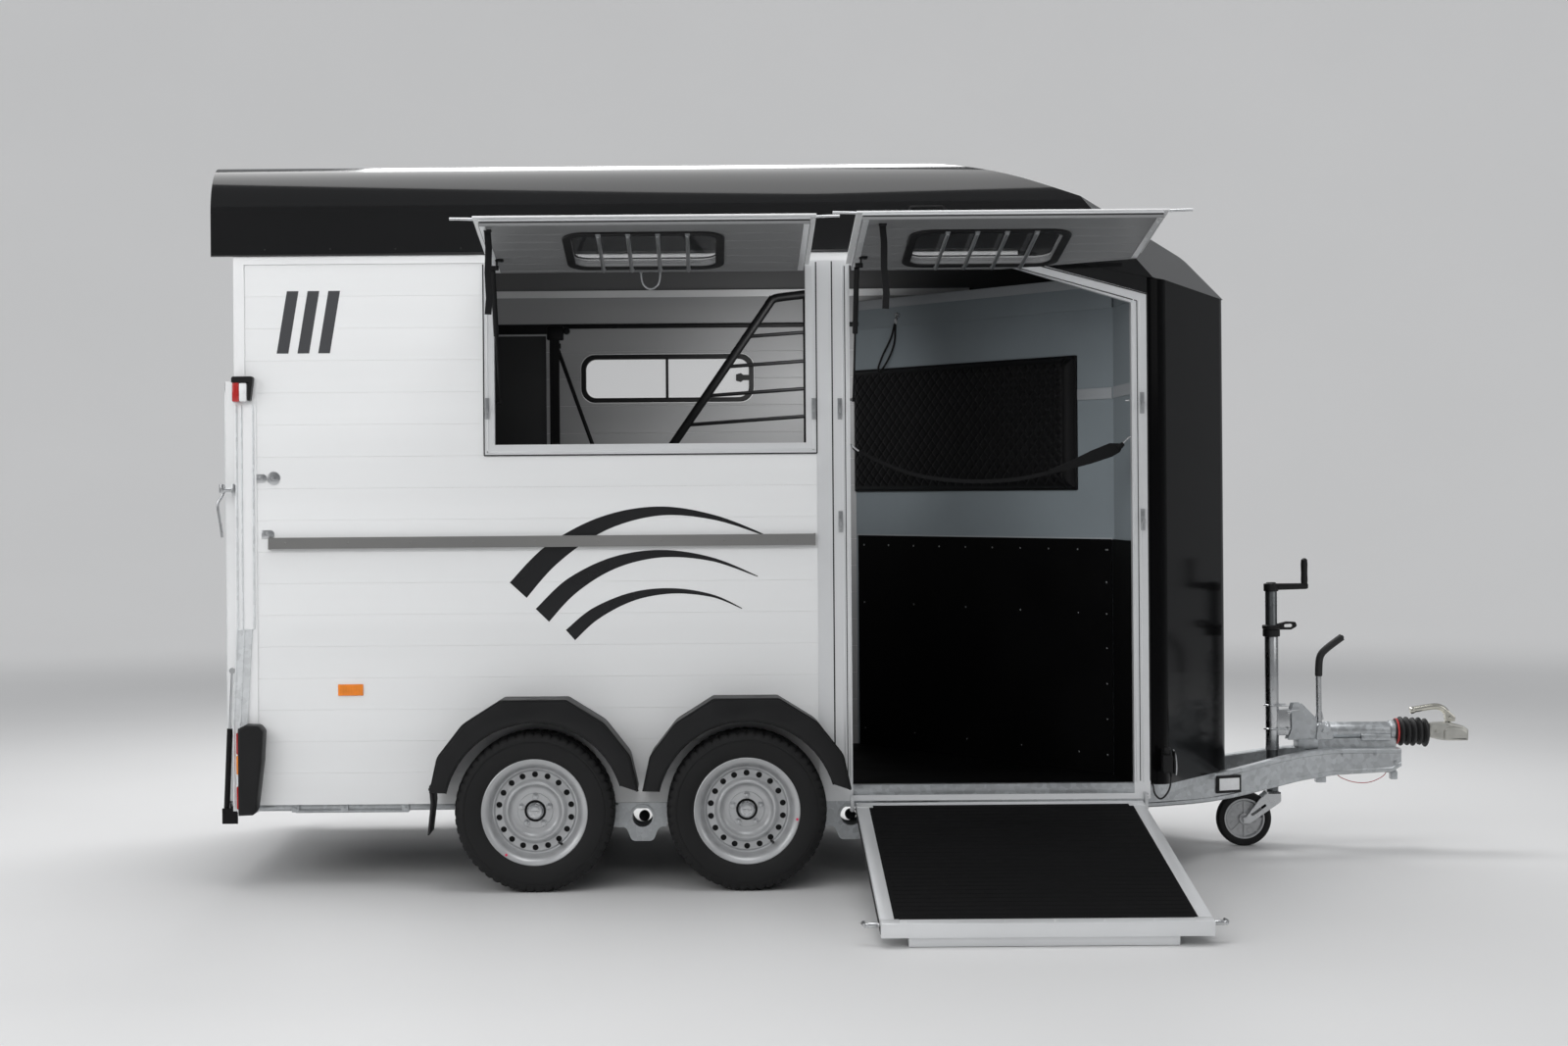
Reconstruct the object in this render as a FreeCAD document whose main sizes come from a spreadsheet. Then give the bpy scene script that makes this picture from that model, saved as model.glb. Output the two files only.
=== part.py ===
import FreeCAD, Part
import math
import os
from types import SimpleNamespace

import Sketcher
from FreeCAD import Placement, Rotation, Vector

# A two-horse trailer with outside wheels, a moulded roof and nose, a side ramp with a flap
# above it, a window flap, a rear ramp and an overrun coupling on a jockey wheel.
#
# Stations run forward from the rear edge of the side walls and heights run up from the
# ground. The row frame has its origin at the centre of the coupling's ball socket, +X
# forward, +Y to the trailer's left and +Z up, so every piece is moved there at the end.

RIGHT, LEFT = -1, 1

SIZES = (
    # name, millimetres or degrees, meaning
    ("ball_station", 4824, "ball socket, ahead of the walls' rear edge"),
    ("ball_height", 440, "ball socket above the ground"),
    ("half_width", 860, "outside of the side walls, from the centre line"),
    ("wall_thick", 30, "side wall planks"),
    ("wall_bottom", 305, "lower edge of the side walls"),
    ("wall_top", 2334, "upper edge of the side walls"),
    ("rail_height", 31, "white rail on top of the side walls"),
    ("rail_proud", 6, "what the rails and frames stand proud of the walls"),
    ("floor_top", 345, "upper face of the floor"),
    ("floor_thick", 27, "floor board"),
    ("post_depth", 40, "rear frame, along the trailer"),
    ("post_width", 96, "rear frame's posts, across the trailer"),
    ("post_wrap", 81, "rear post's flange on the side wall"),
    ("ramp_top", 1900, "upper edge of the closed rear ramp"),
    ("window_rear", 937, "window frame, rear edge"),
    ("window_sill", 1611, "window frame, lower edge"),
    ("frame_face", 40, "width of the window frame's face"),
    ("door_post_rear", 2186, "post between the two openings, rear edge"),
    ("door_post_front", 2311, "door opening, rear edge"),
    ("door_front", 3368, "door opening, front edge"),
    ("frame_front", 3428, "door frame, front edge"),
    ("door_sill", 360, "upper face of the galvanised threshold"),
    ("door_head", 2316, "door opening, upper edge"),
    ("door_cut_top", 2880, "station where the opening's top edge starts to fall"),
    ("door_cut_low", 2167, "height of the opening's upper front corner"),
    ("frame_cut", 2945, "station where the door frame's top edge starts to fall"),
    ("frame_corner", 2201, "height of the door frame's upper front corner"),
    ("crease_side", 2262, "crease between nose and roof at the side"),
    ("crease_tip", 2228, "crease between nose and roof at the tip"),
    ("nose_corner", 3478, "station of the nose's side corner"),
    ("nose_tip", 3864, "front of the nose"),
    ("nose_flat", 150, "half width of the nose's front face"),
    ("nose_corner_r", 110, "rounding of the nose's side corner"),
    ("nose_tip_r", 200, "rounding of the nose's front corner"),
    ("nose_thick", 8, "moulded shell of the nose"),
    ("nose_low_side", 358, "nose's lower edge at the side"),
    ("nose_low_tip", 327, "nose's lower edge at the tip"),
    ("roof_rear", -82, "station of the roof's rear edge"),
    ("roof_half", 874, "half width of the roof's skirt"),
    ("roof_top", 2716, "upper face of the roof"),
    ("roof_thick", 8, "moulded shell of the roof"),
    ("roof_round", 190, "rounding along the roof's sides"),
    ("roof_bend", 2760, "station where the roof starts to fall"),
    ("roof_brow", 3690, "station of the roof's brow"),
    ("brow_rise", 160, "roof's brow above the crease's tip"),
    ("hip_back", 430, "what the roof's front facets lean back over their height"),
    ("wheel_radius", 295, "tyre"),
    ("tyre_width", 185, "tyre"),
    ("track_half", 975, "tyre's middle plane from the centre line"),
    ("axle_front", 1910, "front wheels' station"),
    ("axle_rear", 1128, "rear wheels' station"),
    ("arm_length", 392, "from the swing arm's pivot to the hub"),
    ("pivot_height", 250, "swing arm's pivot above the ground"),
    ("arm_tube_r", 46, "swing arm's pivot tube"),
    ("rim_flange_r", 195, "rim's outer flange"),
    ("spindle_r", 18, "stub axle"),
    ("guard_rise", 411, "mudguard's flat top above the hub"),
    ("guard_out", 1080, "mudguard's outer face"),
    ("guard_low", 77, "mudguard's lower ends above the hub"),
    ("guard_arch", 338, "radius of the arch in the mudguard's skirt"),
    ("guard_thick", 6, "mudguard's moulding"),
    ("rail_section", 60, "chassis rail's width"),
    ("chassis_low", 262, "lower edge of the chassis rails"),
    ("chassis_half", 700, "outside of the chassis rails"),
    ("side_ramp_rear", 2320, "side ramp, rear edge"),
    ("side_ramp_front", 3392, "side ramp, front edge"),
    ("side_ramp_length", 1326, "side ramp"),
    ("side_ramp_thick", 45, "side ramp's frame"),
    ("side_ramp_hinge", 279, "side ramp's hinge above the ground"),
    ("side_ramp_edge", 45, "side ramp's frame, seen from above"),
    ("side_ramp_foot", 34, "side ramp's foot, below its frame"),
    ("mat_recess", 4, "side ramp's board, in from its frame"),
    ("ground_play", 1.5, "side ramp's foot above the ground"),
    ("panel_gap", 6, "gap between a closed panel and its frame"),
    ("flap_hinge", 2322, "flaps' hinge above the ground"),
    ("flap_top", -12, "flap's upper edge from its hinge"),
    ("flap_thick", 30, "flaps"),
    ("flap_out", 2, "flap's outer face, in from its hinge axis"),
    ("flap_skin", 6, "flap's outer skin"),
    ("flap_lap", 20, "what the skin laps over the frame"),
    ("flap_pin_out", 13, "flaps' hinge axis outside the frame's face"),
    ("knuckle_r", 8, "flaps' hinge knuckle"),
    ("flap_ramp_gap", 10, "gap between the closed side ramp and the flap above it"),
    ("pane_length", 525, "barred window in a flap"),
    ("pane_margin", 123, "window flap's pane, from the free edge"),
    ("pane_margin_door", 165, "door flap's pane, from the free edge"),
    ("pane_drop", 92, "upper edge of a flap's window, from the hinge"),
    ("pane_window", 1290, "window flap's pane, rear edge"),
    ("pane_door", 2522, "door flap's pane, rear edge"),
    ("bar_r", 7, "bars inside a flap's window"),
    ("catch_length", 82, "catch rods beyond a flap's free corners"),
    ("catch_r", 5, "catch rods"),
    ("flap_tilt", 9.5, "open flaps' rise above level"),
    ("stay_pin_r", 4, "pins of the flaps' gas struts"),
    ("stay_reach", 200, "strut's pin on a flap, from the hinge"),
    ("stay_inset", 30, "strut's pin inside a flap's inner face"),
    ("stay_drop", 510, "strut's lower stud, below the flap's hinge"),
    ("stay_offset", 16, "struts from the opening's rear edge"),
    ("stay_tube_r", 10, "gas strut's cylinder"),
    ("stay_tube", 264, "gas strut's cylinder"),
    ("stay_rod_r", 4, "gas strut's rod"),
    ("stay_overlap", 10, "rod left inside the cylinder as a flap stands open"),
    ("pin_r", 5, "hinge rods of the flaps and the tack room door"),
    ("ramp_pin_r", 8, "hinge rods of the ramps"),
    ("pin_play", 0.05, "running clearance round rods and spindles"),
    ("rear_ramp_half", 795, "half width of the rear ramp"),
    ("rear_ramp_thick", 40, "rear ramp"),
    ("rear_ramp_hinge", 300, "rear ramp's hinge above the ground"),
    ("lift_beside", 45, "rear struts' middle plane beside the rear ramp"),
    ("lift_foot_back", 46, "strut's lower pin behind the rear frame"),
    ("lift_foot_height", 250, "strut's lower pin above the ground"),
    ("lift_reach", 510, "strut's stud on the ramp, from its hinge"),
    ("lift_tube_r", 11, "rear strut's cylinder"),
    ("lift_tube", 330, "rear strut's cylinder"),
    ("lift_rod_r", 5, "rear strut's rod"),
    ("lift_pin_r", 6, "rear strut's pins"),
    ("tack_door_rear", 2560, "tack room door opening, rear edge"),
    ("tack_door_front", 3240, "tack room door opening, front edge"),
    ("tack_door_low", 470, "tack room door opening, lower edge"),
    ("tack_door_high", 2120, "tack room door opening, upper edge"),
    ("tack_door_thick", 28, "tack room door"),
    ("jockey_station", 4084, "jockey tube"),
    ("jockey_tube_r", 23.9, "jockey leg's tube"),
    ("jockey_sleeve_r", 27.5, "clamp's sleeve round the jockey leg"),
    ("jockey_foot", 222, "lower end of the jockey leg"),
    ("jockey_head", 1044, "upper end of the jockey leg, under its crank"),
    ("jockey_sleeve_low", 392, "lower end of the clamp's sleeve"),
    ("jockey_sleeve_top", 905, "upper end of the clamp's sleeve"),
    ("crank_reach", 137, "crank handle from the jockey leg"),
    ("crank_thick", 30, "crank arm"),
    ("crank_handle", 100, "crank handle above its arm"),
    ("fork_half", 36, "jockey fork's half width"),
    ("jockey_pin_r", 8, "jockey wheel's pin"),
    ("jockey_wheel_r", 112, "jockey wheel"),
    ("jockey_wheel_half", 24, "jockey wheel's half width"),
    ("jockey_trail", 120, "jockey wheel behind its tube"),
    ("beam_height", 110, "drawbar arms"),
    ("beam_low", 208, "drawbar arms, lower edge under the floor"),
    ("beam_rear", 2650, "rear end of the drawbar arms"),
    ("beam_bend", 3858, "station where the drawbar starts to rise"),
    ("beam_level", 4221, "station where the drawbar levels out"),
    ("beam_width", 60, "drawbar arms"),
    ("beam_front", 4330, "front end of the drawbar arms"),
    ("beam_rise", 90, "what the drawbar rises"),
    ("beam_apart", 70, "clear width between the drawbar arms' front ends"),
    ("tube_height", 468, "overrun tube's axis above the ground"),
    ("tube_r", 36, "overrun tube"),
    ("tube_rear", 4262, "overrun tube's rear end"),
    ("housing_front", 4585, "front of the overrun housing"),
    ("housing_rise", 40, "housing's lower front edge above the arms' lower edge"),
    ("gusset_rear", 4140, "plates that carry the jockey clamp, rear edge"),
    ("gusset_top", 585, "plates that carry the jockey clamp, upper edge"),
    ("gusset_thick", 6, "plates that carry the jockey clamp"),
    ("gusset_half", 28, "outer face of those plates from the centre line"),
    ("bellows_length", 135, "bellows"),
    ("bellows_r", 64, "bellows, at its rear folds"),
    ("head_half", 38, "coupling head's half width round the ball"),
    ("head_nose", 60, "front of the coupling head, ahead of the ball"),
    ("head_skirt", 15, "coupling head's lower rim, below the ball"),
    ("handle_half", 14, "coupling handle's half width"),
    ("brake_station", 4266, "handbrake lever, rear edge"),
    ("brake_grip", 698, "lower end of the handbrake's grip"),
    ("post_station", 1134, "partition's middle post, rear edge"),
    ("board_top", 1500, "upper edge of the partition's board"),
    ("partition_top", 2150, "upper edge of the partition's rail"),
    ("grille_front", 2202, "front of the partition and its head grille"),
    ("grille_top", 2257, "bend of the head grille's frame"),
    ("grille_bend", 2048, "station of that bend"),
    ("grille_foot", 1519, "station where the grille's frame meets the board"),
    ("grille_tube_r", 17, "head grille's frame"),
    ("grille_bar_r", 7, "head grille's bars"),
    ("tack_wall_side", 2434, "tack room wall's station at the left wall"),
    ("tack_wall_bend", 3370, "station of the tack room wall's corner"),
    ("tack_wall_turn", -440, "the same corner, to the side"),
    ("tack_wall_end", 3400, "tack room wall's station at the right wall"),
    ("tack_wall_thick", 24, "tack room wall"),
    ("tack_wall_top", 2180, "upper edge of the tack room wall"),
    ("kick_top", 1270, "upper edge of the black board on that wall"),
    ("kick_thick", 6, "black board on that wall"),
    ("pad_low", 1465, "quilted pad, lower edge"),
    ("pad_high", 2000, "quilted pad, upper edge"),
    ("pad_thick", 40, "quilted pad"),
    ("tail_low", 274, "tail lamps, lower edge"),
    ("tail_high", 616, "tail lamps, upper edge"),
    ("tail_out", 950, "tail lamps' outer face"),
    ("tail_front", 114, "tail lamps, front edge"),
    ("marker_low", 1815, "marker lamps, lower edge"),
    ("marker_high", 1914, "marker lamps, upper edge"),
    ("marker_out", 905, "marker lamps' outer face"),
    ("rub_low", 1267, "rub rails, lower edge"),
    ("rub_high", 1309, "rub rails, upper edge"),
    ("rub_proud", 25, "rub rails"),
    ("seat_gap", 0.3, "gap where a piece is seated on another"),
    ("socket_r", 25.4, "ball socket"),
    ("socket_depth", 30, "ball socket"),
)


class Size:
    """A number together with the expression that gives it from the sheet."""

    def __init__(self, value, text):
        self.value = float(value)
        self.text = text

    def __add__(self, other):
        return Size(self.value + num(other), f"({self.text} + {words(other)})")

    def __radd__(self, other):
        return Size(num(other) + self.value, f"({words(other)} + {self.text})")

    def __sub__(self, other):
        return Size(self.value - num(other), f"({self.text} - {words(other)})")

    def __rsub__(self, other):
        return Size(num(other) - self.value, f"({words(other)} - {self.text})")

    def __mul__(self, other):
        return Size(self.value * num(other), f"({self.text} * {words(other)})")

    def __rmul__(self, other):
        return Size(num(other) * self.value, f"({words(other)} * {self.text})")

    def __truediv__(self, other):
        return Size(self.value / num(other), f"({self.text} / {words(other)})")

    def __rtruediv__(self, other):
        return Size(num(other) / self.value, f"({words(other)} / {self.text})")

    def __neg__(self):
        return Size(-self.value, f"(-1 * {self.text})")


def num(size):
    return size.value if isinstance(size, Size) else float(size)


def words(size):
    return size.text if isinstance(size, Size) else f"({float(size):.9f})"


def sine(angle):
    return Size(math.sin(math.radians(num(angle))), f"sin({words(angle)})")


def cosine(angle):
    return Size(math.cos(math.radians(num(angle))), f"cos({words(angle)})")


def arcsine(size):
    return Size(math.degrees(math.asin(num(size))), f"(asin({words(size)}) / 1 deg)")


def root(size):
    return Size(math.sqrt(num(size)), f"sqrt({words(size)})")


def angle_of(rise, run):
    """The angle in degrees whose tangent is rise over run."""
    value = math.degrees(math.atan2(num(rise), num(run)))
    return Size(value, f"(atan2({words(rise)}; {words(run)}) / 1 deg)")


doc = FreeCAD.newDocument("HorseTrailer")
sheet = doc.addObject("Spreadsheet::Sheet", "Sizes")
for row, (name, size, meaning) in enumerate(SIZES, start=1):
    sheet.set(f"A{row}", name)
    sheet.set(f"B{row}", str(size))
    sheet.set(f"C{row}", meaning)
    sheet.setAlias(f"B{row}", name)
doc.recompute()
s = SimpleNamespace(**{name: Size(size, f"Sizes.{name}") for name, size, meaning in SIZES})

PARTS = []
CORNERS = {}
HINGES = []
MOUNTS = []


def bind(thing, path, size):
    """Sets a property from the sheet, or plainly where nothing drives it."""
    if isinstance(size, Size):
        thing.setExpression(path, size.text)
    elif "." in path:
        thing.setExpression(path, words(size))
    else:
        setattr(thing, path, float(size))


def place(thing, corner, turn=None):
    if turn:
        axis, angle = turn
        thing.Placement = Placement(Vector(*map(num, corner)), Rotation(Vector(*axis), num(angle)))
        if isinstance(angle, Size):
            bind(thing, "Placement.Rotation.Angle", angle)
    for path, size in zip("xyz", corner):
        bind(thing, f"Placement.Base.{path}", size)


def box(name, low, high):
    """A block between two corners."""
    made = doc.addObject("Part::Box", name)
    for side, lower, upper in zip(("Length", "Width", "Height"), low, high):
        bind(made, side, upper - lower)
    place(made, low)
    CORNERS[made.Name] = low
    return made


def rod(name, radius, start, axis, length, angle=None):
    """A round bar from start along +X, +Y or +Z, or turned from +Z by (axis, angle)."""
    turns = {"X": ((0, 1, 0), 90), "Y": ((1, 0, 0), -90), "Z": ((0, 0, 1), 0)}
    made = doc.addObject("Part::Cylinder", name)
    bind(made, "Radius", radius)
    bind(made, "Height", length)
    place(made, start, angle or turns[axis])
    CORNERS[made.Name] = start
    return made


def bar_between(name, radius, start, end):
    """A round bar between two points of one plane along +X and +Z."""
    run, rise = end[0] - start[0], end[2] - start[2]
    length = root(run * run + rise * rise)
    return rod(name, radius, start, "Z", length, angle=((0, 1, 0), angle_of(run, rise)))


def ball(name, radius, centre):
    made = doc.addObject("Part::Sphere", name)
    bind(made, "Radius", radius)
    place(made, centre)
    return made


def fuse(name, *shapes):
    made = doc.addObject("Part::MultiFuse", name)
    made.Shapes = list(shapes)
    return made


def cut(name, base, *tools):
    made = doc.addObject("Part::Cut", name)
    made.Base = base
    made.Tool = tools[0] if len(tools) == 1 else fuse(name + "_tools", *tools)
    return made


def common(name, *shapes):
    made = doc.addObject("Part::MultiCommon", name)
    made.Shapes = list(shapes)
    return made


def group(name, *shapes):
    """Solids that share a node and don't touch."""
    made = doc.addObject("Part::Compound", name)
    made.Links = list(shapes)
    return made


def fixed(name, shape):
    """A shape set by code, for what no sketch or primitive gives."""
    made = doc.addObject("Part::Feature", name)
    made.Shape = shape
    return made


def seat(thing, label, at=(0, 0, 0), turn=None):
    """Names a finished sub-part and moves it from stations and heights to the row frame."""
    thing.Label = label
    corner = CORNERS.get(thing.Name, (0, 0, 0))
    x, y, z = (a + b for a, b in zip(corner, at))
    base = (x - s.ball_station, y, z - s.ball_height)
    if thing.TypeId in ("Part::Box", "Part::Cylinder") and not turn:
        for path, size in zip("xyz", base):
            bind(thing, f"Placement.Base.{path}", size)
    else:
        place(thing, base, turn)
    PARTS.append(thing)
    return thing


def new_body(name):
    return doc.addObject("PartDesign::Body", name)


def pin_point(sketch, geometry, point, across, up):
    """Holds a sketch point at its distances from the sketch's origin."""
    for kind, axis, size in (("DistanceX", -2, across), ("DistanceY", -1, up)):
        if not isinstance(size, Size) and size == 0:
            sketch.addConstraint(Sketcher.Constraint("PointOnObject", geometry, point, axis))
            continue
        index = sketch.addConstraint(
            Sketcher.Constraint(kind, -1, 1, geometry, point, num(size)))
        if isinstance(size, Size):
            sketch.setExpression(f"Constraints[{index}]", size.text)


def draw_circle(sketch, across, up, radius):
    circle = Part.Circle(Vector(num(across), num(up), 0), Vector(0, 0, 1), num(radius))
    geometry = sketch.addGeometry(circle, False)
    pin_point(sketch, geometry, 3, across, up)
    index = sketch.addConstraint(Sketcher.Constraint("Radius", geometry, num(radius)))
    if isinstance(radius, Size):
        sketch.setExpression(f"Constraints[{index}]", radius.text)


def draw_outline(sketch, corners):
    """A closed outline. A corner is (across, up), with a third value where it is rounded."""
    count = len(corners)
    points = [Vector(num(c[0]), num(c[1]), 0) for c in corners]
    ends, arcs = [], {}
    for i, corner in enumerate(corners):
        here = points[i]
        if len(corner) < 3:
            ends.append((here, here))
            continue
        radius = num(corner[2])
        back = (points[i - 1] - here).normalize()
        ahead = (points[(i + 1) % count] - here).normalize()
        half = back.getAngle(ahead) / 2
        reach = radius / math.tan(half)
        start, end = here + back * reach, here + ahead * reach
        centre = here + (back + ahead).normalize() * (radius / math.sin(half))
        left_turn = back.cross(ahead).z < 0
        first, last = (start, end) if left_turn else (end, start)
        angles = [math.atan2(p.y - centre.y, p.x - centre.x) for p in (first, last)]
        circle = Part.Circle(centre, Vector(0, 0, 1), radius)
        arcs[i] = (Part.ArcOfCircle(circle, *angles), left_turn)
        ends.append((start, end))
    lines = [
        sketch.addGeometry(Part.LineSegment(ends[i][1], ends[(i + 1) % count][0]), False)
        for i in range(count)
    ]
    for i, corner in enumerate(corners):
        before, after = lines[i - 1], lines[i]
        if i not in arcs:
            sketch.addConstraint(Sketcher.Constraint("Coincident", before, 2, after, 1))
            pin_point(sketch, after, 1, corner[0], corner[1])
            continue
        arc, left_turn = arcs[i]
        geometry = sketch.addGeometry(arc, False)
        first, last = (1, 2) if left_turn else (2, 1)
        sketch.addConstraint(Sketcher.Constraint("Tangent", before, 2, geometry, first))
        sketch.addConstraint(Sketcher.Constraint("Tangent", after, 1, geometry, last))
        mark = sketch.addGeometry(Part.Point(points[i]), True)
        pin_point(sketch, mark, 1, corner[0], corner[1])
        sketch.addConstraint(Sketcher.Constraint("PointOnObject", mark, 1, before))
        sketch.addConstraint(Sketcher.Constraint("PointOnObject", mark, 1, after))
        index = sketch.addConstraint(Sketcher.Constraint("Radius", geometry, num(corner[2])))
        if isinstance(corner[2], Size):
            sketch.setExpression(f"Constraints[{index}]", corner[2].text)


def draw(body, role, level, loops):
    """A sketch on one of the body's own origin planes, moved along the plane's normal."""
    sketch = body.newObject("Sketcher::SketchObject", body.Name + "_sketch")
    plane = next(f for f in body.Origin.OriginFeatures if f.Role == role)
    sketch.AttachmentSupport = [(plane, "")]
    sketch.MapMode = "FlatFace"
    bind(sketch, "AttachmentOffset.Base.z", level)
    for loop in loops:
        if loop[0] == "circle":
            draw_circle(sketch, *loop[1:])
        else:
            draw_outline(sketch, loop)
    return sketch


def pad(body, role, loops, low, high):
    """A prism between two levels. A sketch on XZ has its normal along -Y."""
    sketch = draw(body, role, -1 * high if role == "XZ_Plane" else low, loops)
    made = body.newObject("PartDesign::Pad", body.Name + "_pad")
    made.Profile = sketch
    bind(made, "Length", high - low)
    return made


def pocket(body, role, loops, low, high):
    """Cuts a prism between two levels. A pocket runs against its sketch's normal."""
    sketch = draw(body, role, -1 * low if role == "XZ_Plane" else high, loops)
    made = body.newObject("PartDesign::Pocket", body.Name + "_pocket")
    made.Profile = sketch
    bind(made, "Length", high - low)
    return made


def turned(body, loops, role="XY_Plane", axis="V_Axis"):
    """A solid turned about the body's own axis."""
    sketch = draw(body, role, 0, loops)
    made = body.newObject("PartDesign::Revolution", body.Name + "_turned")
    made.Profile = sketch
    made.ReferenceAxis = (sketch, [axis])
    made.Angle = 360
    return made


def rectangle(left, bottom, right, top, radius=None):
    corners = [(left, bottom), (right, bottom), (right, top), (left, top)]
    return [c + (radius,) for c in corners] if radius else corners


def prism(name, role, loops, low, high):
    body = new_body(name)
    pad(body, role, loops, low, high)
    return body


# Outlines that several pieces share

def plan(inset, rear):
    """The body's plan from a station forward, round the nose, moved in by inset."""
    reach = root((s.nose_tip - s.nose_corner) * (s.nose_tip - s.nose_corner)
                 + (s.half_width - s.nose_flat) * (s.half_width - s.nose_flat))
    normal_x = (s.half_width - s.nose_flat) / reach
    normal_y = (s.nose_tip - s.nose_corner) / reach
    side = s.half_width - inset
    corner = s.nose_corner - inset * normal_x / (1 + normal_y)
    tip = s.nose_tip - inset
    flat = s.nose_flat - inset * normal_y / (1 + normal_x)
    return [
        (rear, -side), (corner, -side, s.nose_corner_r - inset),
        (tip, -flat, s.nose_tip_r - inset), (tip, flat, s.nose_tip_r - inset),
        (corner, side, s.nose_corner_r - inset), (rear, side),
    ]


def upper_edge(lift, rear):
    """Side view of the upper edge that the walls and the door frame share."""
    return [
        (rear, s.wall_top + lift), (s.frame_cut, s.wall_top + lift),
        (s.frame_front, s.frame_corner + lift),
    ]


def crease(station, drop=0):
    """Height of the crease between nose and roof at a station."""
    share = (station - s.frame_front) / (s.nose_tip - s.frame_front)
    return s.crease_side - (s.crease_side - s.crease_tip) * share - drop


def nose_foot(station, drop=0):
    """Height of the nose's lower edge at a station."""
    share = (station - s.frame_front) / (s.nose_tip - s.frame_front)
    return s.nose_low_side - (s.nose_low_side - s.nose_low_tip) * share - drop


# Body

def make_floor():
    body = prism("floor", "XY_Plane", [plan(s.wall_thick + 1, s.post_depth)],
                 s.floor_top - s.floor_thick, s.floor_top)
    seat(body, "floor")


def make_walls():
    right = [
        (s.post_depth, s.wall_bottom), (s.door_post_rear, s.wall_bottom),
        (s.door_post_rear, s.window_sill), (s.window_rear, s.window_sill),
        (s.window_rear, s.wall_top), (s.post_depth, s.wall_top),
    ]
    inner = s.half_width - s.wall_thick
    seat(prism("wall_right", "XZ_Plane", [right], -s.half_width, -inner), "side_wall_right")
    left = [(s.post_depth, s.wall_bottom), (s.frame_front, s.wall_bottom)]
    left += upper_edge(0, s.post_depth)[::-1]
    holes = [
        rectangle(*PANE_LEFT, 60),
        rectangle(s.tack_door_rear, s.tack_door_low, s.tack_door_front, s.tack_door_high, 60),
    ]
    seat(prism("wall_left", "XZ_Plane", [left] + holes, inner, s.half_width), "side_wall_left")


# Sliding window in the left wall: rear, low, front, high
PANE_LEFT = (1217, 1867, 1983, 2080)


def make_sliding_window():
    rear, low, front, high = PANE_LEFT
    inner = s.half_width - s.wall_thick
    frame = prism("slide_frame", "XZ_Plane",
                  [rectangle(rear, low, front, high, 60),
                   rectangle(rear + 22, low + 22, front - 22, high - 22, 40)],
                  inner - 4, s.half_width + 4)
    pad(frame, "XZ_Plane", [rectangle(rear + 20, low + 20, front - 20, high - 20, 40)],
        s.half_width - 18, s.half_width - 12)
    seat(frame, "sliding_window")


def make_top_rails():
    roof_edge = s.wall_top + s.rail_height
    rail = rectangle(s.post_depth, s.wall_top, s.frame_cut, roof_edge)
    brow = [(s.frame_cut, s.wall_top), (s.frame_front, s.frame_corner),
            (s.frame_front, s.crease_side), (s.frame_cut, roof_edge)]
    inner, outer = s.half_width - s.wall_thick, s.half_width + s.rail_proud
    for label, loop in (("top_rails", rail), ("brow_strips", brow)):
        pieces = [
            prism(f"{label}_{side}", "XZ_Plane", [loop], low, high)
            for side, low, high in (("right", -outer, -inner), ("left", inner, outer))
        ]
        seat(group(label + "_set", *pieces), label)


def make_window_frame():
    outer = rectangle(s.window_rear, s.window_sill, s.door_post_rear, s.wall_top)
    inner = rectangle(s.window_rear + s.frame_face, s.window_sill + s.frame_face,
                      s.door_post_rear - s.frame_face, s.door_head)
    body = prism("window_ring", "XZ_Plane", [outer, inner],
                 -(s.half_width + s.rail_proud), -(s.half_width - s.wall_thick))
    seat(body, "window_frame")


def make_door_frame():
    outer = [(s.door_post_rear, s.wall_bottom), (s.frame_front, s.wall_bottom)]
    outer += upper_edge(0, s.door_post_rear)[::-1]
    inner = [
        (s.door_post_front, s.door_sill), (s.door_front, s.door_sill),
        (s.door_front, s.door_cut_low), (s.door_cut_top, s.door_head),
        (s.door_post_front, s.door_head),
    ]
    body = prism("door_ring", "XZ_Plane", [outer, inner],
                 -(s.half_width + s.rail_proud), -(s.half_width - s.wall_thick))
    seat(body, "door_frame")


def make_nose():
    past = s.nose_tip + 5
    out = s.half_width + 5
    shell = prism("nose_ring", "XY_Plane", [nose_band(s.nose_thick)], s.wall_bottom, s.roof_top)
    side = prism("nose_side", "XZ_Plane", [[
        (s.frame_front, nose_foot(s.frame_front)), (past, nose_foot(past)),
        (past, crease(past, s.seat_gap)), (s.frame_front, crease(s.frame_front, s.seat_gap)),
    ]], -out, out)
    seat(common("nose", shell, side), "nose_shell")
    floor_bottom = s.floor_top - s.floor_thick
    lip = prism("lip_ring", "XY_Plane", [nose_band(s.wall_thick + 1)],
                floor_bottom - 10, s.nose_low_side + 10)
    below = prism("lip_side", "XZ_Plane", [[
        (s.frame_front, floor_bottom), (past, floor_bottom),
        (past, nose_foot(past)), (s.frame_front, nose_foot(s.frame_front)),
    ]], -out, out)
    seat(common("lip", lip, below), "nose_sill")


def nose_band(thick):
    """A strip that follows the nose's plan, open at the rear."""
    outer = plan(0, s.frame_front)
    inner = plan(thick, s.frame_front)
    return outer + inner[::-1]


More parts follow.
